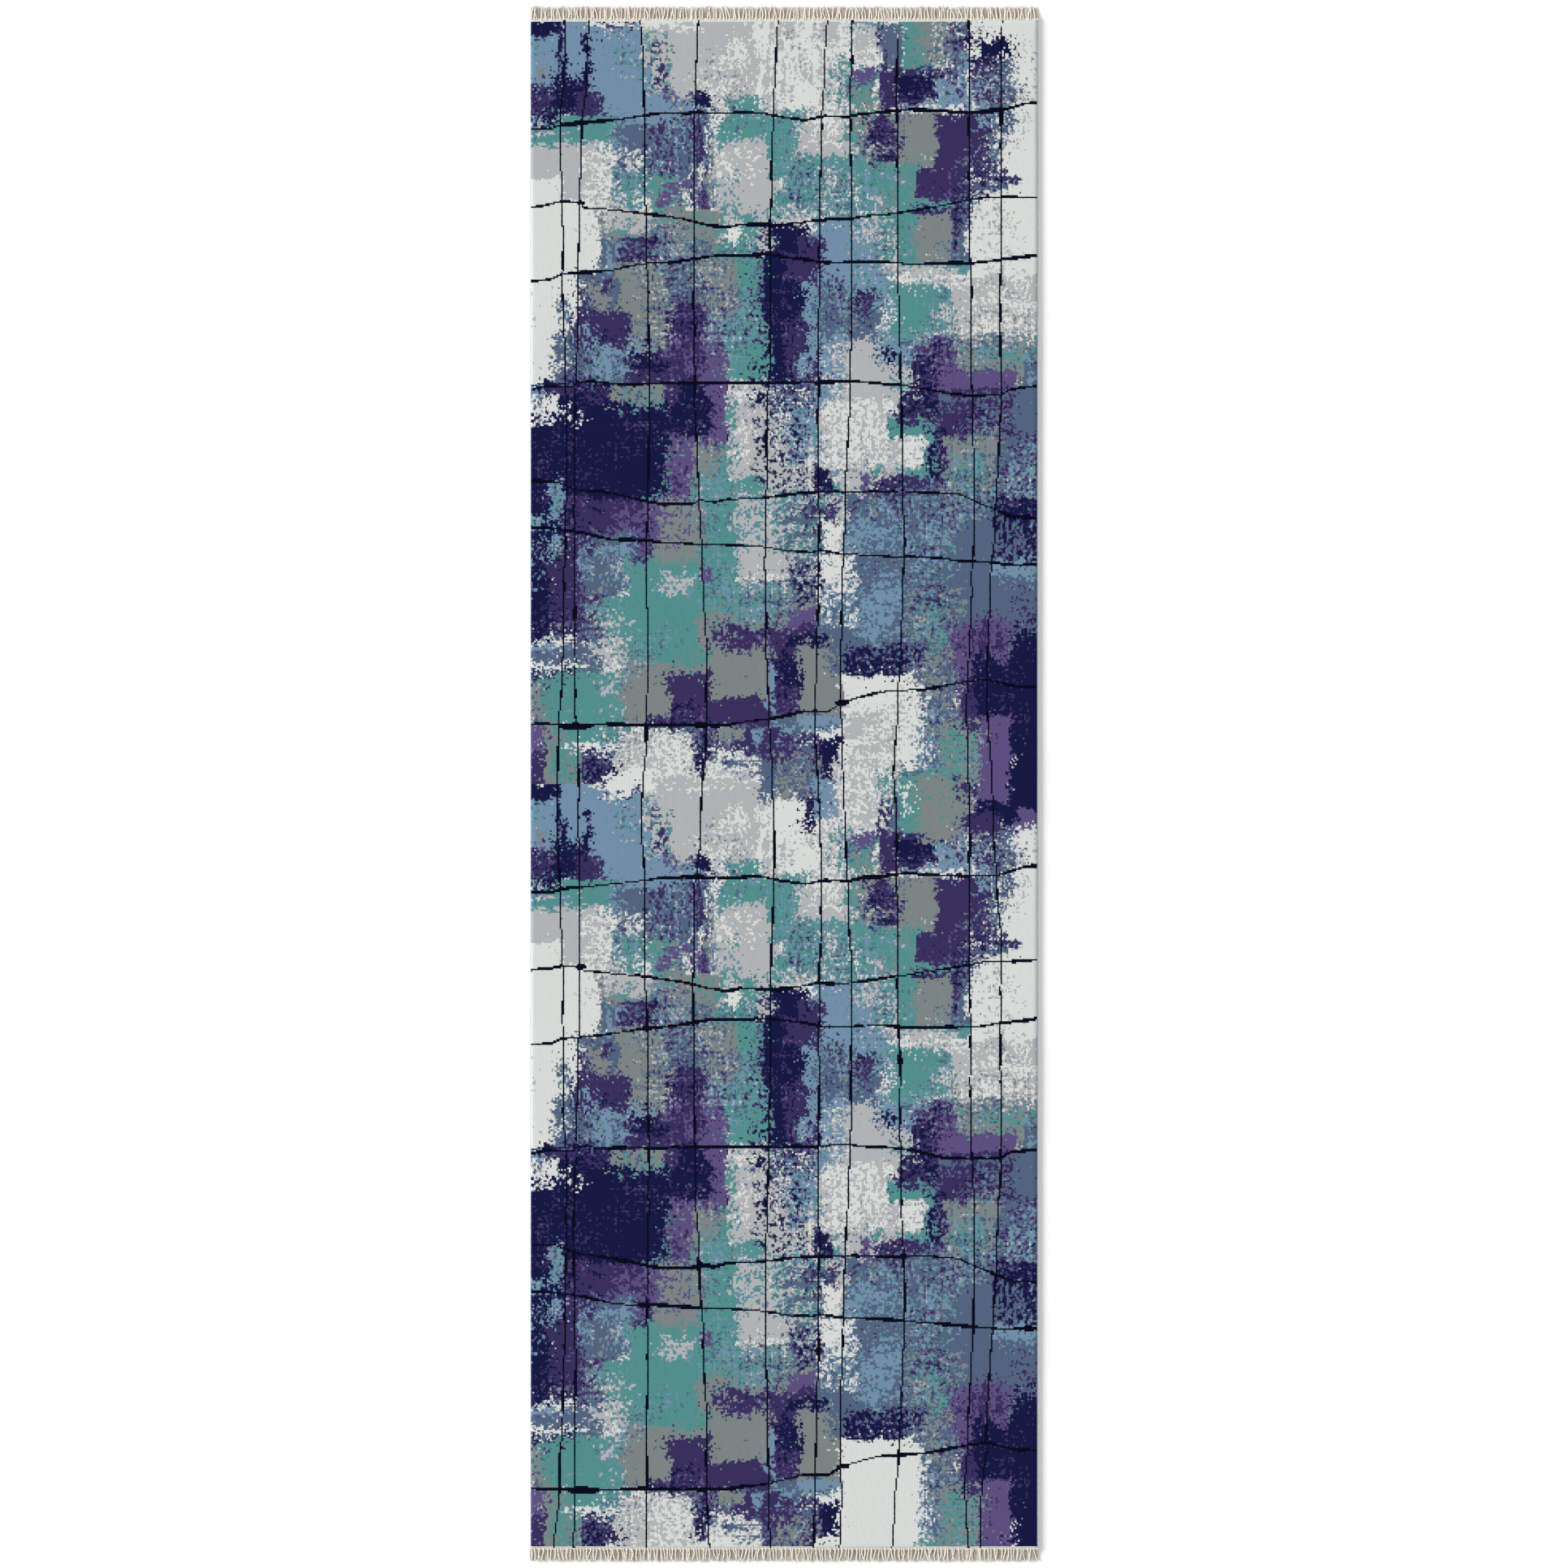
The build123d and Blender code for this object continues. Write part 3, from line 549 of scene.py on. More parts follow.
class Shader:
    """A material's node tree around one Principled shader, read in the frame's coordinates."""

    def __init__(self, name, roughness, sheen=0.0, specular=0.25):
        self.material = bpy.data.materials.new(name)
        self.material.use_nodes = True
        self.tree = self.material.node_tree
        self.shader = self.tree.nodes["Principled BSDF"]
        self.shader.inputs["Roughness"].default_value = roughness
        self.shader.inputs["Sheen Weight"].default_value = sheen
        self.shader.inputs["Sheen Roughness"].default_value = SHEEN_ROUGHNESS
        self.shader.inputs["Specular IOR Level"].default_value = specular
        self.place = self.add("ShaderNodeTexCoord").outputs["Object"]

    def add(self, kind, inputs=(), **settings):
        """A new node, with its settings and its inputs, each a number or another node's output."""
        node = self.tree.nodes.new(kind)
        for key, value in settings.items():
            setattr(node, key, value)
        for key, value in dict(inputs).items():
            if isinstance(value, bpy.types.NodeSocket):
                self.tree.links.new(value, node.inputs[key])
            else:
                node.inputs[key].default_value = value
        return node

    def join(self, value, socket):
        self.tree.links.new(value, self.shader.inputs[socket])

    def grain(self, size, detail=2.0, along=None):
        """Noise from 0 to 1 with grains of that size, in metres, stretched along one axis if asked."""
        scale = [1 / size] * 3
        if along is not None:
            axis, stretch = along
            scale["XYZ".index(axis)] /= stretch
        place = self.add("ShaderNodeMapping", {"Vector": self.place, "Scale": scale}).outputs["Vector"]
        inputs = {"Vector": place, "Scale": 1.0, "Detail": detail}
        return self.add("ShaderNodeTexNoise", inputs).outputs["Fac"]

    def ribs(self, pitch, axis):
        """A sine from 0 to 1 that repeats every pitch metres along that axis, or about that slantwise."""
        inputs = {"Vector": self.place, "Scale": TURN / (WAVE_BANDS * pitch)}
        return self.add("ShaderNodeTexWave", inputs, bands_direction=axis).outputs["Fac"]

    def sum(self, a, b):
        return self.add("ShaderNodeMath", {0: a, 1: b}, operation="ADD").outputs["Value"]

    def product(self, a, b):
        return self.add("ShaderNodeMath", {0: a, 1: b}, operation="MULTIPLY").outputs["Value"]

    def spread(self, value, low, high):
        """A 0 to 1 value, spread from low to high."""
        inputs = {"Value": value, "To Min": low, "To Max": high}
        return self.add("ShaderNodeMapRange", inputs).outputs["Result"]

    def mixed(self, factor, dark, light):
        """A colour between two, by a factor."""
        node = self.add("ShaderNodeMix", {"Factor": factor}, data_type="RGBA")
        for name, colour in (("A", dark), ("B", light)):
            slot = next(s for s in node.inputs if s.name == name and s.type == "RGBA")
            slot.default_value = colour
        return next(s for s in node.outputs if s.type == "RGBA")

    def relief(self, height, depth, strength):
        """Bump from a 0 to 1 height, that many metres deep."""
        bump = self.add("ShaderNodeBump", {"Height": height, "Distance": depth, "Strength": strength})
        self.join(bump.outputs["Normal"], "Normal")


def pile_yarn(name):
    """One dyed pile yarn: knots in rows, soft fibre, painted shade that darkens the gaps between the knots,
    and a slow drift of tone that is painted shading across the pile.
    """
    base = YARNS[name]
    look = Shader(f"pile_{name}", roughness=0.95, sheen=0.1, specular=0.06)
    look.shader.inputs["Sheen Tint"].default_value = linear(base)
    knots = look.product(look.sum(look.ribs(KNOT, "X"), look.ribs(KNOT, "Y")), 0.5)
    fibre = look.grain(0.6 * MM, detail=3.0)
    # Slow drift in tone: painted shading, as of pile that lies different ways
    drift = look.grain(90 * MM)
    # Painted shade: the knots' pattern darkens the gaps between them
    tone = look.sum(look.spread(knots, 0.0, 0.5), look.spread(fibre, -0.15, 0.45))
    tone = look.sum(tone, look.spread(drift, -0.12, 0.12))
    dark, light = (linear(base, gain, VEIL) for gain in FIBRE_AND_SHADE_GAINS)
    look.join(look.mixed(tone, dark, light), "Base Color")
    look.join(look.spread(fibre, 0.86, 1.0), "Roughness")
    look.relief(look.sum(knots, look.product(fibre, 0.6)), depth=0.35 * MM, strength=0.6)
    return look.material


def spun_yarn(name, dark, light, size, twist_axis="DIAGONAL", sheen=0.15):
    """A spun cotton yarn: fibres along the rug, plies across it, and a tone given for each yarn, which in the
    fringe's lower row is partly painted shade.
    """
    look = Shader(name, roughness=0.85, sheen=sheen, specular=0.3)
    fibre = look.grain(size, detail=3.0, along=("Y", 3.0))
    plies = look.ribs(size * 4, twist_axis)
    # Each yarn's given tone: random, and in the fringe's lower row partly painted shade
    tone_and_shade = look.add("ShaderNodeAttribute", attribute_name="tone").outputs["Fac"]
    tone = look.sum(look.product(tone_and_shade, 0.6), look.spread(fibre, -0.1, 0.5))
    look.join(look.mixed(tone, linear(dark), linear(light)), "Base Color")
    look.join(look.spread(fibre, 0.75, 0.98), "Roughness")
    look.relief(look.sum(plies, fibre), depth=size / 2, strength=0.5)
    return look.material


def woven_cotton(name, dark, light, pitch):
    """A plain weave: ribs both ways, with a little slub and unevenness."""
    look = Shader(name, roughness=0.9, sheen=0.1, specular=0.2)
    weave = look.product(look.sum(look.ribs(pitch, "X"), look.ribs(pitch, "Y")), 0.5)
    slub = look.grain(pitch * 3, detail=3.0, along=("X", 4.0))
    tone = look.sum(look.spread(weave, 0.0, 0.6), look.spread(slub, -0.1, 0.5))
    look.join(look.mixed(tone, linear(dark), linear(light)), "Base Color")
    look.join(look.spread(slub, 0.8, 1.0), "Roughness")
    look.relief(weave, depth=pitch / 4, strength=0.7)
    return look.material


def latex(name, dark, light):
    """Dry latex over a weave: matte, blotchy, with the weft showing as ribs."""
    look = Shader(name, roughness=0.75, specular=0.35)
    weft = look.ribs(2 * KNOT, "Y")
    blotch = look.grain(30 * MM, detail=4.0)
    pores = look.grain(1.2 * MM)
    tone = look.sum(look.spread(weft, 0.0, 0.35), look.spread(blotch, 0.0, 0.7))
    look.join(look.mixed(tone, linear(dark), linear(light)), "Base Color")
    look.join(look.spread(pores, 0.6, 0.92), "Roughness")
    look.relief(look.sum(weft, look.product(pores, 0.5)), depth=0.3 * MM, strength=0.6)
    return look.material


def placed(name, data):
    """A new object in the scene."""
    thing = bpy.data.objects.new(name, data)
    bpy.context.scene.collection.objects.link(thing)
    return thing


def new_piece(name, points, faces, materials, node):
    """A smooth piece from its points and faces, riding on the rug and standing for its CAD node."""
    mesh = bpy.data.meshes.new(name)
    mesh.from_pydata(np.asarray(points).tolist(), [], faces)
    for material in materials:
        mesh.materials.append(material)
    mesh.polygons.foreach_set("use_smooth", [True] * len(mesh.polygons))
    piece = placed(name, mesh)
    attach(piece, "root")
    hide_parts(node)
    return piece


def span(node, axis, sign):
    """How far from the rug's middle a node starts and ends along an axis, on its own side."""
    low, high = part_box(node)
    return sorted((sign * low[axis], sign * high[axis]))


PILE_EAVE = 0.3 * MM  # how far the pile's overhang stays clear of the serging
EDGE_ROUNDING = (1.3 * MM, 0.35 * MM, 0)  # how much lower the outermost points are, ring by ring
KNOT_ROUGHNESS = 0.35 * MM  # how much one knot is lower than the next, at most
KNOT_SHIFT = 0.12 * MM  # how far the knots are out of line
SETTLING = 0.35 * MM  # how much the pile has settled on average
SETTLING_WAVES = ((0.3, 14, 5), (0.2, 4, 4))  # each as a share of that, and its cm across and down


def settled(shape, rng):
    """How far the pile has settled at each corner of its knots: low waves, most of them across the rug."""
    waves = sum(share * noise(rng, shape, across, down) for share, across, down in SETTLING_WAVES)
    return SETTLING * np.clip(1 + waves, 0, 2)


def make_pile():
    """One face per knot, uneven on top and rounded over at the edges, closed round and under."""
    low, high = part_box("pile")
    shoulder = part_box("left_serging")[1]
    foot_x = high.x - (shoulder.x - low.x) - PILE_EAVE
    columns = round((high.x - low.x) / KNOT)
    rows = round((high.y - low.y) / KNOT)
    shape = (rows + 1, columns + 1)
    rng = np.random.default_rng(SEEDS["pile"])
    x, y = np.meshgrid(np.linspace(low.x, high.x, columns + 1), np.linspace(high.y, low.y, rows + 1))
    lowered = KNOT_ROUGHNESS * rng.random(shape) + settled(shape, rng)
    down, right = np.ogrid[: rows + 1, : columns + 1]
    to_edge = np.minimum(np.minimum(down, rows - down), np.minimum(right, columns - right))
    lowered += np.choose(np.minimum(to_edge, len(EDGE_ROUNDING) - 1), EDGE_ROUNDING)
    shift_x, shift_y = rng.normal(0, KNOT_SHIFT, (2, *shape)) * (to_edge > 0)
    top = np.stack([x + shift_x, y + shift_y, high.z - lowered], axis=-1).reshape(-1, 3)
    number = np.arange(len(top)).reshape(shape)
    design = rug_design(rows, columns)
    quads = np.stack([number[:-1, :-1], number[1:, :-1], number[1:, 1:], number[:-1, 1:]], axis=-1)
    faces = quads.reshape(-1, 4).tolist()
    yarns = [design.reshape(-1)]

    # The rim runs round the top grid, then down and in to the foot, ring by ring.
    rim = np.concatenate([number[0, :-1], number[:-1, -1], number[-1, :0:-1], number[:0:-1, 0]])
    beside = np.concatenate([design[0, :], design[:, -1], design[-1, ::-1], design[::-1, 0]])
    outer = top[rim].copy()
    outer[:, 2] = shoulder.z + PILE_EAVE
    inner = outer.copy()
    inner[:, 0] = np.clip(inner[:, 0], -foot_x, foot_x)
    foot = inner.copy()
    foot[:, 2] = low.z
    rings = [rim, *(len(top) + np.arange(3 * rim.size).reshape(3, -1))]
    for above, below in zip(rings, rings[1:]):
        side = np.stack([above, np.roll(above, -1), np.roll(below, -1), below], axis=-1)
        faces += side.tolist()
        yarns.append(beside)
    faces.append(rings[-1].tolist())
    yarns.append([YARN_NAMES.index("silver")])

    points = np.concatenate([top, outer, inner, foot])
    materials = [pile_yarn(name) for name in YARNS]
    piece = new_piece("woven_pile", points, faces, materials, "pile")
    piece.data.polygons.foreach_set("material_index", np.concatenate(yarns).astype(np.int32))
    return piece


def closed_piece(name, groups, material, node):
    """A piece of closed bodies, from groups that each pair the bodies' sections with their tones.

    Sections hold bodies, rings, points of a ring, and xyz. Tones fit the first three of these, or
    are None where the material doesn't use them.
    """
    points, faces, tones = [], [], []
    count = 0
    for sections, tone in groups:
        number = np.arange(count, count + sections.size // 3).reshape(sections.shape[:3])
        here, ahead = number[:, :-1], number[:, 1:]
        quads = np.stack([here, ahead, np.roll(ahead, -1, axis=2), np.roll(here, -1, axis=2)], axis=-1)
        points.append(sections.reshape(-1, 3))
        faces += quads.reshape(-1, 4).tolist() + number[:, 0].tolist() + number[:, -1, ::-1].tolist()
        if tone is not None:
            tones.append(np.broadcast_to(tone, number.shape).ravel())
        count += number.size
    piece = new_piece(name, np.concatenate(points), faces, [material], node)
    mesh = piece.data
    if tones:
        values = np.concatenate(tones).astype(np.float32)
        mesh.attributes.new("tone", "FLOAT", "POINT").data.foreach_set("value", values)
    shape = bmesh.new()
    shape.from_mesh(mesh)
    bmesh.ops.recalc_face_normals(shape, faces=shape.faces)
    shape.to_mesh(mesh)
    shape.free()
    return piece


PLY_GROOVE = 0.22  # how deep the groove between a yarn's plies is, as a share of its half width


def strands(centres, sideways, upward, half_width, half_height, sides=8, plies=0, twist=0.0):
    """Sections of yarns along their centres: oval, with a groove between plies that twist by ring."""
    angle = np.arange(sides) * TURN / sides
    groove = PLY_GROOVE * (0.5 - 0.5 * np.cos(plies * (angle - np.asarray(twist)[..., None])))
    across = np.cos(angle) * (1 - groove) * np.asarray(half_width)[..., None]
    up = np.sin(angle) * (1 - groove) * np.asarray(half_height)[..., None]
    offset = across[..., None] * sideways[..., None, :] + up[..., None] * upward[..., None, :]
    return centres[..., None, :] + offset


WRAP_PITCH = 3 * MM  # along the rug, from one turn of the serging to the next
WRAP_HALF_WIDTH = 1.62 * MM
WRAP_HALF_THICK = 0.5 * MM
WRAP_PULL = 0.05 * MM  # how unevenly tight the turns are
WRAP_SLIP = 0.1 * MM  # how far they have slipped along the rug
WRAP_SHOULDER = 1.6 * MM  # from the cord's middle to where a turn leaves it for the pile's foot
WRAP_SIDES = 6
WRAP_TONES = (0.3, 1.0)
WRAP_ARC_POINTS = 7


def make_serging(side, sign, material):
    """One flat yarn wound round the side's cord and cloth, turn against turn, all along the rug."""
    node = f"{side}_serging"
    low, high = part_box(node)
    inner, outer = span(node, 0, sign)
    radius = high.z / 2
    reach = radius - WRAP_HALF_THICK
    cord_x = outer - radius
    heel = inner + WRAP_HALF_THICK

    # One turn, across and up: under the cloth, round the cord, and down onto the pile's foot
    turn = [(heel, radius - reach), ((heel + cord_x) / 2, radius - reach)]
    for angle in np.linspace(-TURN / 4, TURN / 4, WRAP_ARC_POINTS):
        turn.append((cord_x + reach * math.cos(angle), radius + reach * math.sin(angle)))
    turn += [(cord_x - WRAP_SHOULDER, radius + 0.75 * reach), (heel, radius + 0.4 * reach), (heel, radius)]
    turn = np.array(turn)
    ahead = np.roll(turn, -1, axis=0) - np.roll(turn, 1, axis=0)
    normal = np.stack([ahead[:, 1], -ahead[:, 0]], axis=1)
    normal /= np.linalg.norm(normal, axis=1)[:, None]

    rng = np.random.default_rng(SEEDS["serging"] + sign)
    first, last = low.y + WRAP_HALF_WIDTH, high.y - WRAP_HALF_WIDTH
    turns = round((last - first) / WRAP_PITCH) + 1
    steps = turns * len(turn)
    pull = rng.normal(0, WRAP_PULL, (turns, 1, 1))
    slip = rng.normal(0, WRAP_SLIP, (turns, 1))
    wound = (np.arange(steps).reshape(turns, -1) / len(turn) - 0.5) / (turns - 1)
    y = np.clip(first + (last - first) * wound + slip, first, last)
    path = turn + pull * normal
    centres = np.stack([sign * path[..., 0], y, path[..., 1]], axis=-1).reshape(1, steps, 3)
    upward = np.stack([sign * normal[:, 0], np.zeros(len(turn)), normal[:, 1]], axis=1)
    upward = np.tile(upward, (turns, 1))
    sections = strands(centres, ALONG, upward, WRAP_HALF_WIDTH, WRAP_HALF_THICK, WRAP_SIDES)
    tone = np.repeat(rng.uniform(*WRAP_TONES, turns), len(turn))[:, None]
    return closed_piece(f"{side}_wrapped_edge", [(sections, tone)], material, node)


CORD_STEP = 3 * MM  # along the cord, from ring to ring of its mesh
CORD_TWIST = 16 * MM  # along the cord, for one turn of its plies
CORD_SIDES = 12
CORD_TONE = 0.6


def make_cord(side, material):
    """The three-ply cord inside the wrapping."""
    node = f"{side}_selvedge_cord"
    low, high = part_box(node)
    middle = (low + high) / 2
    half = (high.z - low.z) / 2
    y = np.linspace(low.y, high.y, round((high.y - low.y) / CORD_STEP) + 1)
    centres = np.stack(np.broadcast_arrays(middle.x, y, middle.z), axis=-1)[None]
    twist = TURN * (y - low.y) / CORD_TWIST
    sections = strands(centres, ACROSS, UP, half, half, CORD_SIDES, plies=3, twist=twist)
    return closed_piece(f"{side}_edge_cord", [(sections, CORD_TONE)], material, node)


LIP_WIDTH = 3 * MM  # of the tape that the fringe comes out of
# The fringe's lower and upper row: the distance from yarn to yarn, how far one may be out of place, half its
# width, its height as a share of its width, and its tones, the lower row's kept darker as painted shade. A
# yarn lies with a length of it held in the tape, at a height at its start and at rest, and its tip leans so
# far to a side.
UNDER_PITCH = 2.7 * MM
UNDER_STRAY = 0.3 * MM
UNDER_HALF = 1.3 * MM
UNDER_FLAT = 1.0
# The lower row's tones run to the fringe cotton's dark end: random, and partly painted shade
UNDER_TONES_WITH_SHADE = (0.0, 0.6)
UNDER_LAY = {"hold": 1.0 * MM, "start_z": 4.6 * MM, "rest_z": UNDER_HALF, "lean": 1.2 * MM}
OVER_PITCH = 5.2 * MM
OVER_STRAY = 1.0 * MM
OVER_HALF = 1.15 * MM
OVER_FLAT = 0.8
OVER_TONES = (0.75, 1.0)
OVER_LAY = {"hold": LIP_WIDTH - 0.6 * MM, "rest_z": 3.3 * MM, "lean": 2.4 * MM}
FRINGE_RINGS = 14
FRINGE_TURNS = 1.6  # how often a yarn's plies go round
FRINGE_WIDTHS = (0.85, 1.12)  # a yarn's width, as a share of its row's
FRINGE_TAPER = ((0, 0.75, 1), (1, 0.95, 0.55))  # places along a yarn, and its width there
LENGTH_OFF = (-0.3 * MM, 0.8 * MM)  # how far off the yarns' lengths are: on average, give or take
REST_OFF = 0.35 * MM  # how much above its row a yarn rests, at most
LEAN_CURVE = 1.4  # how late on its way out a yarn leans to a side
BEND = 0.4  # how much it bends, as a share of how far it leans
FALL_CURVE = 2.5  # how soon it comes down to rest
FIBRES = 7  # loose fibres at each yarn's tip
FIBRE_LENGTHS = (1.8, 4.0)  # in mm
FIBRE_ROOT = 0.4  # how far from a yarn's middle they start, in mm
FIBRE_SPREAD = 0.24 * np.array([1, 1, 0.35])  # how far they point to the sides, along and up
FIBRE_CURL = 0.25 * np.array([1, 0, 0.4])  # and curl
FIBRE_HALF = np.array([0.16, 0.13, 0.1, 0.05]) * MM  # half a fibre's width, from root to tip
FIBRE_LOWEST = 0.3 * MM  # above the floor
# The lower row's fibres are darker as painted shade
FIBRE_TONES = (0.6, 0.95)  # of the lower and the upper row's


def fringe_row(end, sign, rng, starts, half, hold, start_z, rest_z, lean):
    """Centres of one row of yarns, from where the tape holds them out to ragged tips."""
    node = f"{end}_fringe_yarns"
    root, tip = span(node, 1, sign)
    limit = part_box(node)[1].x - half
    count = len(starts)
    s = np.linspace(0, 1, FRINGE_RINGS)
    length = tip - root + hold + rng.normal(*LENGTH_OFF, (count, 1))
    free = np.clip((s * length - hold) / (length - hold), 0, 1)
    sway = rng.normal(0, lean, (count, 1))
    bend = rng.normal(0, BEND * lean, (count, 1))
    x = starts[:, None] + sway * free**LEAN_CURVE + bend * np.sin(TURN / 2 * free)
    y = sign * (root - hold + s * length)
    settle = rest_z + rng.uniform(0, REST_OFF, (count, 1))
    z = settle + (start_z - settle) * (1 - free) ** FALL_CURVE
    return np.stack([np.clip(x, -limit, limit), y, z], axis=-1)


def yarn_bodies(centres, half, flat, rng):
    """Sections of two-ply yarns along their centres, thinner and looser at the tips."""
    count, rings = centres.shape[:2]
    s = np.linspace(0, 1, rings)
    width = half * np.interp(s, *FRINGE_TAPER) * rng.uniform(*FRINGE_WIDTHS, (count, 1))
    twist = rng.uniform(0, TURN, (count, 1)) + FRINGE_TURNS * TURN * s
    return strands(centres, ACROSS, UP, width, width * flat, plies=2, twist=twist)


def tip_fibres(centres, rng):
    """Short loose fibres that spread from the yarns' tips."""
    tips = np.repeat(centres[:, -2], FIBRES, axis=0)
    away = np.repeat(centres[:, -1] - centres[:, -3], FIBRES, axis=0)
    away /= np.linalg.norm(away, axis=1)[:, None]
    away += rng.normal(0, 1, away.shape) * FIBRE_SPREAD
    tips += rng.uniform(-FIBRE_ROOT, FIBRE_ROOT, tips.shape) * MM
    reach = rng.uniform(*FIBRE_LENGTHS, (len(tips), 1, 1)) * MM
    curl = rng.normal(0, 1, (len(tips), 1, 3)) * FIBRE_CURL
    s = np.linspace(0, 1, len(FIBRE_HALF))[:, None]
    path = tips[:, None] + reach * (s * away[:, None] + s**2 * curl)
    path[..., 2] = np.maximum(path[..., 2], FIBRE_LOWEST)
    return strands(path, ACROSS, UP, FIBRE_HALF, FIBRE_HALF, sides=3)


def make_fringe(end, sign, material):
    """Two rows of cotton yarns: beige ones side by side, toned darker as painted shade, and paler ones that
    lie over them.
    """
    node = f"{end}_fringe_yarns"
    low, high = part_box(node)
    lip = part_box(f"{end}_fringe_tape")[1].z
    rng = np.random.default_rng(SEEDS["fringe"] + sign)
    under_x = np.arange(low.x + UNDER_HALF, high.x - UNDER_HALF, UNDER_PITCH)
    under_x += rng.normal(0, UNDER_STRAY, len(under_x))
    over_x = np.arange(low.x + OVER_PITCH / 2, high.x - OVER_PITCH / 2, OVER_PITCH)
    over_x += rng.normal(0, OVER_STRAY, len(over_x))
    under = fringe_row(end, sign, rng, under_x, UNDER_HALF, **UNDER_LAY)
    over = fringe_row(end, sign, rng, over_x, OVER_HALF, start_z=lip, **OVER_LAY)
    groups = [
        # The lower row takes darker tones: painted shade under the upper row
        (yarn_bodies(under, UNDER_HALF, UNDER_FLAT, rng), rng.uniform(*UNDER_TONES_WITH_SHADE, (len(under), 1, 1))),
        (yarn_bodies(over, OVER_HALF, OVER_FLAT, rng), rng.uniform(*OVER_TONES, (len(over), 1, 1))),
        (tip_fibres(under, rng), FIBRE_TONES[0]),
        (tip_fibres(over, rng), FIBRE_TONES[1]),
    ]
    return closed_piece(f"{end}_fringe", groups, material, node)


TAPE_STATION = 1.0 * MM  # across the rug, from ring to ring of the tape's mesh
LIP_PITCH = 4 * MM  # from one bulge of the lip to the next
LIP_HOLLOW = np.array([0.3, 0.6]) * MM  # how far it is in and down between them
LIP_UNEVEN = np.array([0.1, 0.3]) * MM  # and how much more anywhere, at most
GROOVE_HALF = 0.7 * MM  # half the width of the groove that the stitches lie in
GROOVE_DEEP = 0.5 * MM
STITCH_INSET = 7 * MM  # from the pile's end to the row of stitches


def make_tape(end, sign, material):
    """The folded heading tape: flat under the rug's end, with a lip that bulges in even steps."""
    node = f"{end}_fringe_tape"
    low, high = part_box(node)
    grip_y, face_y = span(node, 1, sign)
    end_y = face_y - LIP_WIDTH
    stitch_y = end_y - STITCH_INSET
    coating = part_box("back_coating")[1]
    top = high.z
    # Its section, from its inner edge out along the floor, up and over the lip, and back in
    y, z = np.transpose(
        [
            (grip_y, 0),
            (stitch_y - GROOVE_HALF, 0),
            (stitch_y - GROOVE_HALF, GROOVE_DEEP),
            (stitch_y + GROOVE_HALF, GROOVE_DEEP),
            (stitch_y + GROOVE_HALF, 0),
            (end_y, 0),
            (face_y - 0.4 * MM, 0),
            (face_y, 0.5 * MM),
            (face_y, top / 2),
            (face_y, top - 0.6 * MM),
            (face_y - 0.6 * MM, top),
            (end_y + 0.5 * MM, top),
            (end_y, top - 0.5 * MM),
            (end_y, coating.z),
            (grip_y, coating.z),
        ]
    )
    stations = round((high.x - low.x) / TAPE_STATION) + 1
    x = np.linspace(low.x, high.x, stations)[:, None]
    hollow = 0.5 + 0.5 * np.cos(TURN * (x - low.x) / LIP_PITCH)
    rng = np.random.default_rng(SEEDS["tape"] + sign)
    uneven = rng.uniform(0, 1, (stations, 1))
    y = np.where(np.abs(x) > coating.x, np.maximum(y, end_y), y)
    inwards, down = (LIP_HOLLOW * hollow + LIP_UNEVEN * uneven).T[..., None]
    y = y - np.where(y > face_y - 0.5 * MM, inwards, 0)
    z = z - np.where(z > top - 0.7 * MM, down, 0)
    sections = np.stack(np.broadcast_arrays(x, sign * y, z), axis=-1)[None]
    return closed_piece(f"{end}_folded_tape", [(sections, None)], material, node)


STITCH_PITCH = 8 * MM
STITCH_LENGTH = 6 * MM
STITCH_HALF = 0.4 * MM  # half a stitch's width at its middle
STITCH_LENGTHS = (0.94, 1.0)  # as shares of that length
STITCH_STRAY = 0.06 * MM  # how far it is out of line
STITCH_CLEAR = 0.22 * MM  # its middle, over the lowest point of its node
STITCH_RISE = 0.45 * MM  # how far it rises into the tape at its ends
STITCH_TONES = (0.4, 0.9)
STITCH_RINGS = 9


def make_stitching(end, sign, material):
    """A row of thread stitches, each rising into the tape at both its ends."""
    node = f"{end}_tape_stitches"
    low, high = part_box(node)
    rng = np.random.default_rng(SEEDS["stitching"] + sign)
    count = round((high.x - low.x - STITCH_LENGTH) / STITCH_PITCH) + 1
    middle = low.x + STITCH_LENGTH / 2 + STITCH_PITCH * np.arange(count)[:, None]
    s = np.linspace(-1, 1, STITCH_RINGS)
    x = middle + s * STITCH_LENGTH / 2 * rng.uniform(*STITCH_LENGTHS, (count, 1))
    y = (low.y + high.y) / 2 + rng.normal(0, STITCH_STRAY, (count, 1))
    z = low.z + STITCH_CLEAR + STITCH_RISE * s**4
    centres = np.stack(np.broadcast_arrays(x, y, z), axis=-1)
    width = STITCH_HALF * (1 - 0.35 * s**4)
    sections = strands(centres, ALONG, UP, width, width / 2, plies=2, twist=s * TURN)
    tone = rng.uniform(*STITCH_TONES, (count, 1, 1))
    return closed_piece(f"{end}_stitching", [(sections, tone)], material, node)


LAYER_COLUMNS = 17
LAYER_UNEVEN = 0.4  # as a share of its ribs' depth


def make_layer(name, node, material, depth, seed):
    """A thin layer of cloth whose crosswise ribs show on both faces."""
    low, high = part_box(node)
    rng = np.random.default_rng(seed)
    rows = round((high.y - low.y) / (KNOT / 2)) + 1
    x = np.linspace(low.x, high.x, LAYER_COLUMNS)
    y = np.linspace(low.y, high.y, rows)[:, None]
    rib = depth * (np.arange(rows) % 2)[:, None] + LAYER_UNEVEN * depth * rng.random((rows, LAYER_COLUMNS))
    under = np.stack(np.broadcast_arrays(x, y, low.z + rib), axis=-1)
    over = np.stack(np.broadcast_arrays(x[::-1], y, high.z - rib[:, ::-1]), axis=-1)
    sections = np.concatenate([under, over], axis=1)[None]
    return closed_piece(name, [(sections, None)], material, node)


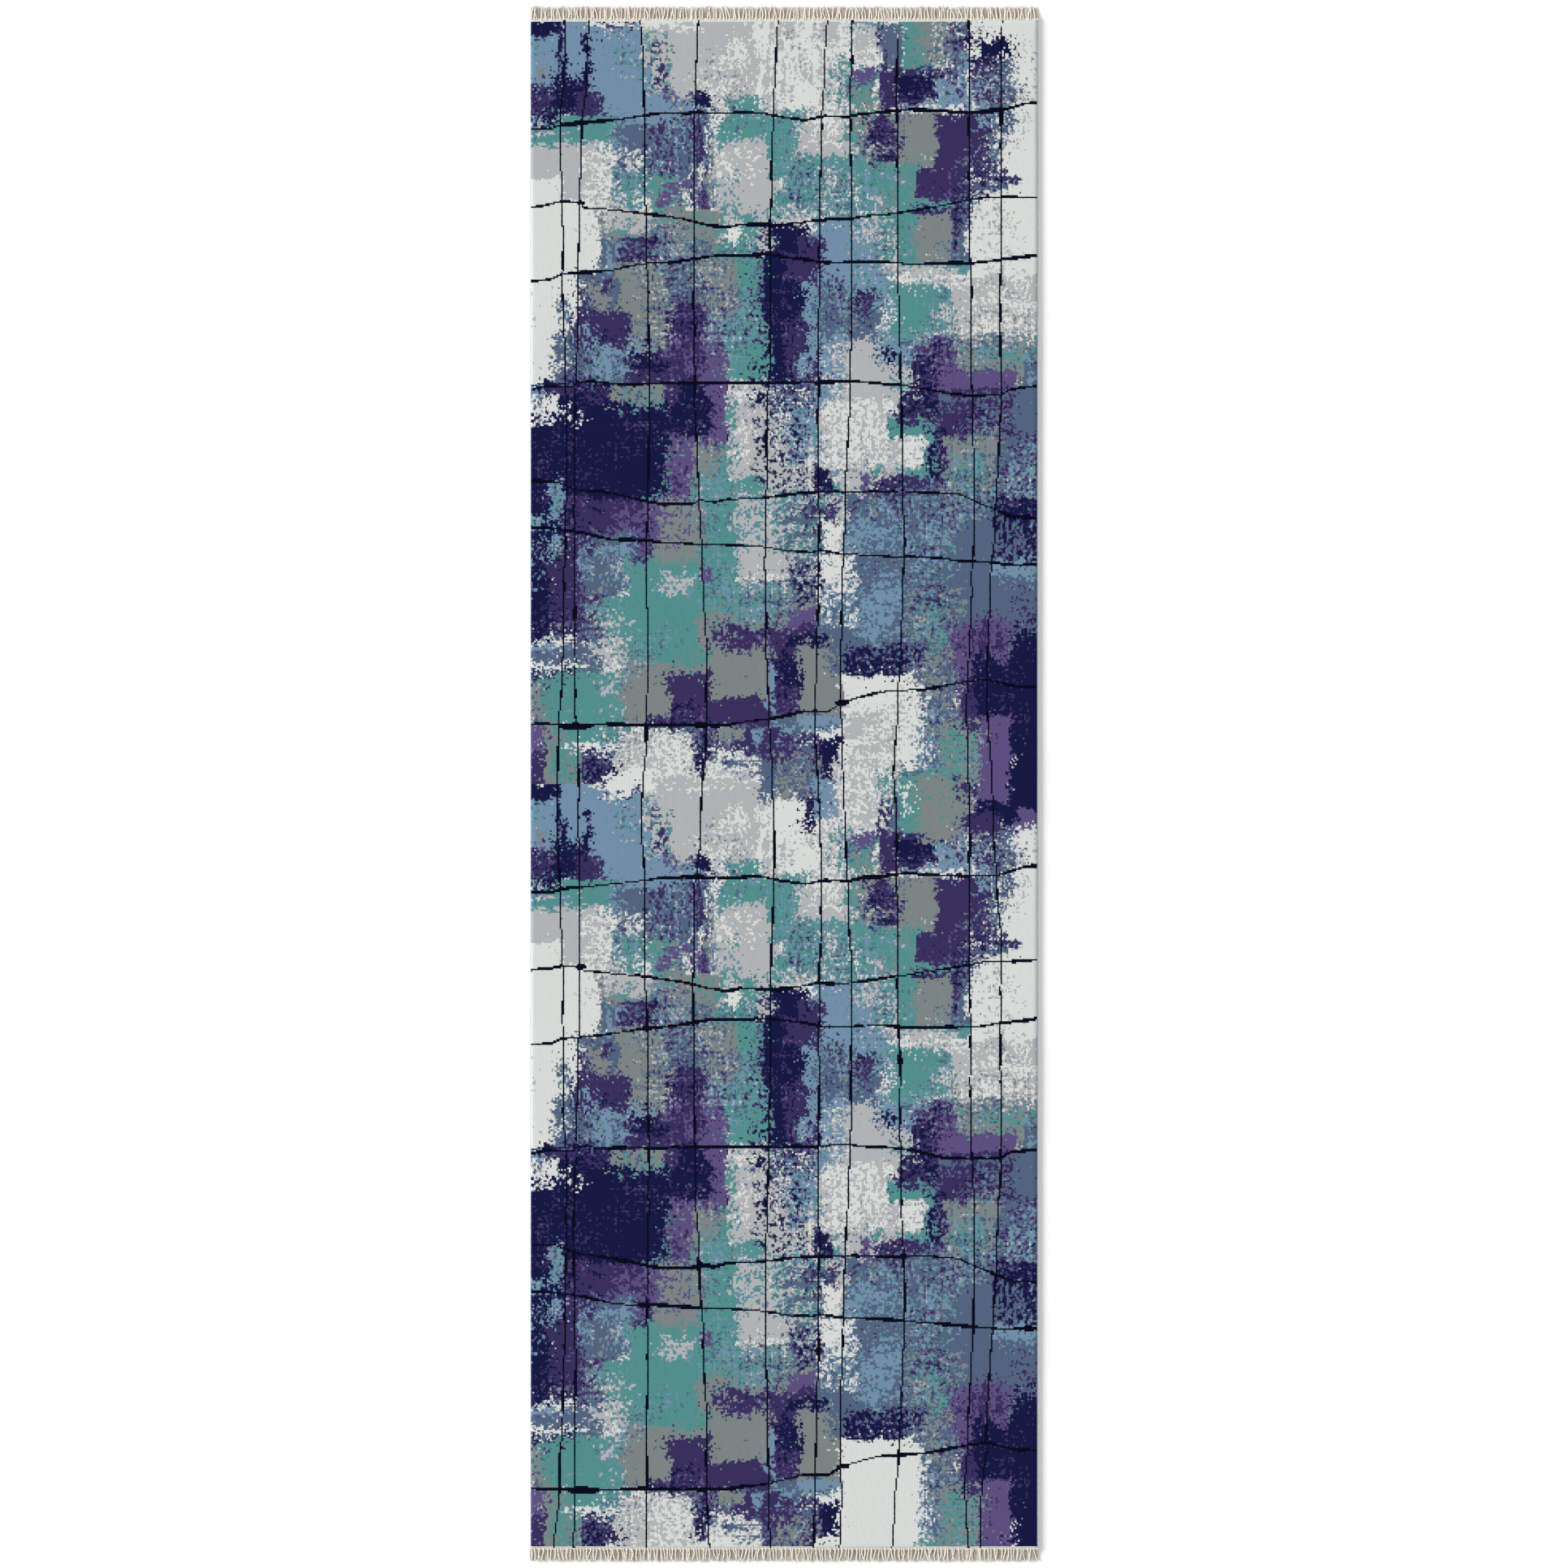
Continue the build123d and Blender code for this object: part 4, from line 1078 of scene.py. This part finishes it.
FLOOR_SIDE = 120.0
FLOOR_GREYS = ((0.96, 0.96, 0.96, 1), (0.98, 0.98, 0.98, 1))
WHITE_LIGHT = (1, 1, 1, 1)
WALLS = (0.3, 0.45)  # how high the white walls stand and where the ceiling starts, as the sine of the angle
SURROUND = (1.02, 0.57)  # how bright the walls and the ceiling are
WINDOW = 2.9  # how strong the light is
WINDOW_SPREAD = 24.0  # degrees across
TO_WINDOW = (-2.2, 0.6, 1.25)
LENS = 100.0
SENSOR = 36.0
FRAME_SIDE = 2.4626  # what the camera sees of the rug's top, from side to side


def make_floor():
    """A wide floor, painted white."""
    mesh = bpy.data.meshes.new("floor")
    half = FLOOR_SIDE / 2
    corners = [(-half, -half, 0), (half, -half, 0), (half, half, 0), (-half, half, 0)]
    mesh.from_pydata(corners, [], [(0, 1, 2, 3)])
    paint_look = Shader("floor_paint", roughness=0.9, specular=0.0)
    paint_look.join(paint_look.mixed(paint_look.grain(500 * MM), *FLOOR_GREYS), "Base Color")
    mesh.materials.append(paint_look.material)
    placed("floor", mesh)


def make_studio():
    """White walls, a duller ceiling, one soft low light from the far left, and the camera straight above."""
    world = bpy.data.worlds.new("surround")
    world.use_nodes = True
    nodes, links = world.node_tree.nodes, world.node_tree.links
    background = nodes["Background"]
    background.inputs["Color"].default_value = WHITE_LIGHT
    height = nodes.new("ShaderNodeSeparateXYZ")
    links.new(nodes.new("ShaderNodeTexCoord").outputs["Generated"], height.inputs["Vector"])
    fade = nodes.new("ShaderNodeMapRange")
    links.new(height.outputs["Z"], fade.inputs["Value"])
    for socket, value in zip(("From Min", "From Max", "To Min", "To Max"), (*WALLS, *SURROUND)):
        fade.inputs[socket].default_value = value
    links.new(fade.outputs["Result"], background.inputs["Strength"])
    bpy.context.scene.world = world

    lamp = bpy.data.lights.new("window", "SUN")
    lamp.energy = WINDOW
    lamp.angle = math.radians(WINDOW_SPREAD)
    placed("window", lamp).rotation_euler = Vector(TO_WINDOW).to_track_quat("Z", "Y").to_euler()

    lens = bpy.data.cameras.new("camera")
    lens.lens = LENS
    lens.sensor_width = SENSOR
    camera = placed("camera", lens)
    camera.location = (0, 0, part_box("pile")[1].z + FRAME_SIDE * LENS / SENSOR)
    bpy.context.scene.camera = camera
    bpy.context.scene.view_settings.view_transform = "Standard"


pile = make_pile()
wrap = spun_yarn("serging_yarn", (176, 184, 196), (214, 221, 231), 0.9 * MM, twist_axis="X")
cord_cotton = spun_yarn("cord_cotton", (190, 184, 170), (222, 217, 204), 0.8 * MM)
# The fringe cotton's dark end is the colour of shaded gaps: painted shade, taken most by the lower row
fringe_cotton = spun_yarn("fringe_cotton", (146, 128, 108), (255, 249, 238), 0.7 * MM)
thread = spun_yarn("sewing_thread", (200, 196, 186), (236, 232, 222), 0.25 * MM, sheen=0.3)
tape_cotton = woven_cotton("tape_cotton", (226, 216, 202), (252, 245, 235), 0.9 * MM)
ground_cotton = woven_cotton("ground_cotton", (168, 158, 140), (206, 198, 182), KNOT)
backing = latex("backing_latex", (158, 150, 136), (205, 198, 184))
pieces = [
    make_layer("ground_cloth", "ground_weave", ground_cotton, 0.18 * MM, SEEDS["ground"]),
    make_layer("latex_backing", "back_coating", backing, 0.15 * MM, SEEDS["latex"]),
]
for side, sign in SIDES.items():
    pieces.append(make_cord(side, cord_cotton))
    pieces.append(make_serging(side, sign, wrap))
for end, sign in ENDS.items():
    pieces.append(make_tape(end, sign, tape_cotton))
    pieces.append(make_fringe(end, sign, fringe_cotton))
    pieces.append(make_stitching(end, sign, thread))
make_floor()
make_studio()
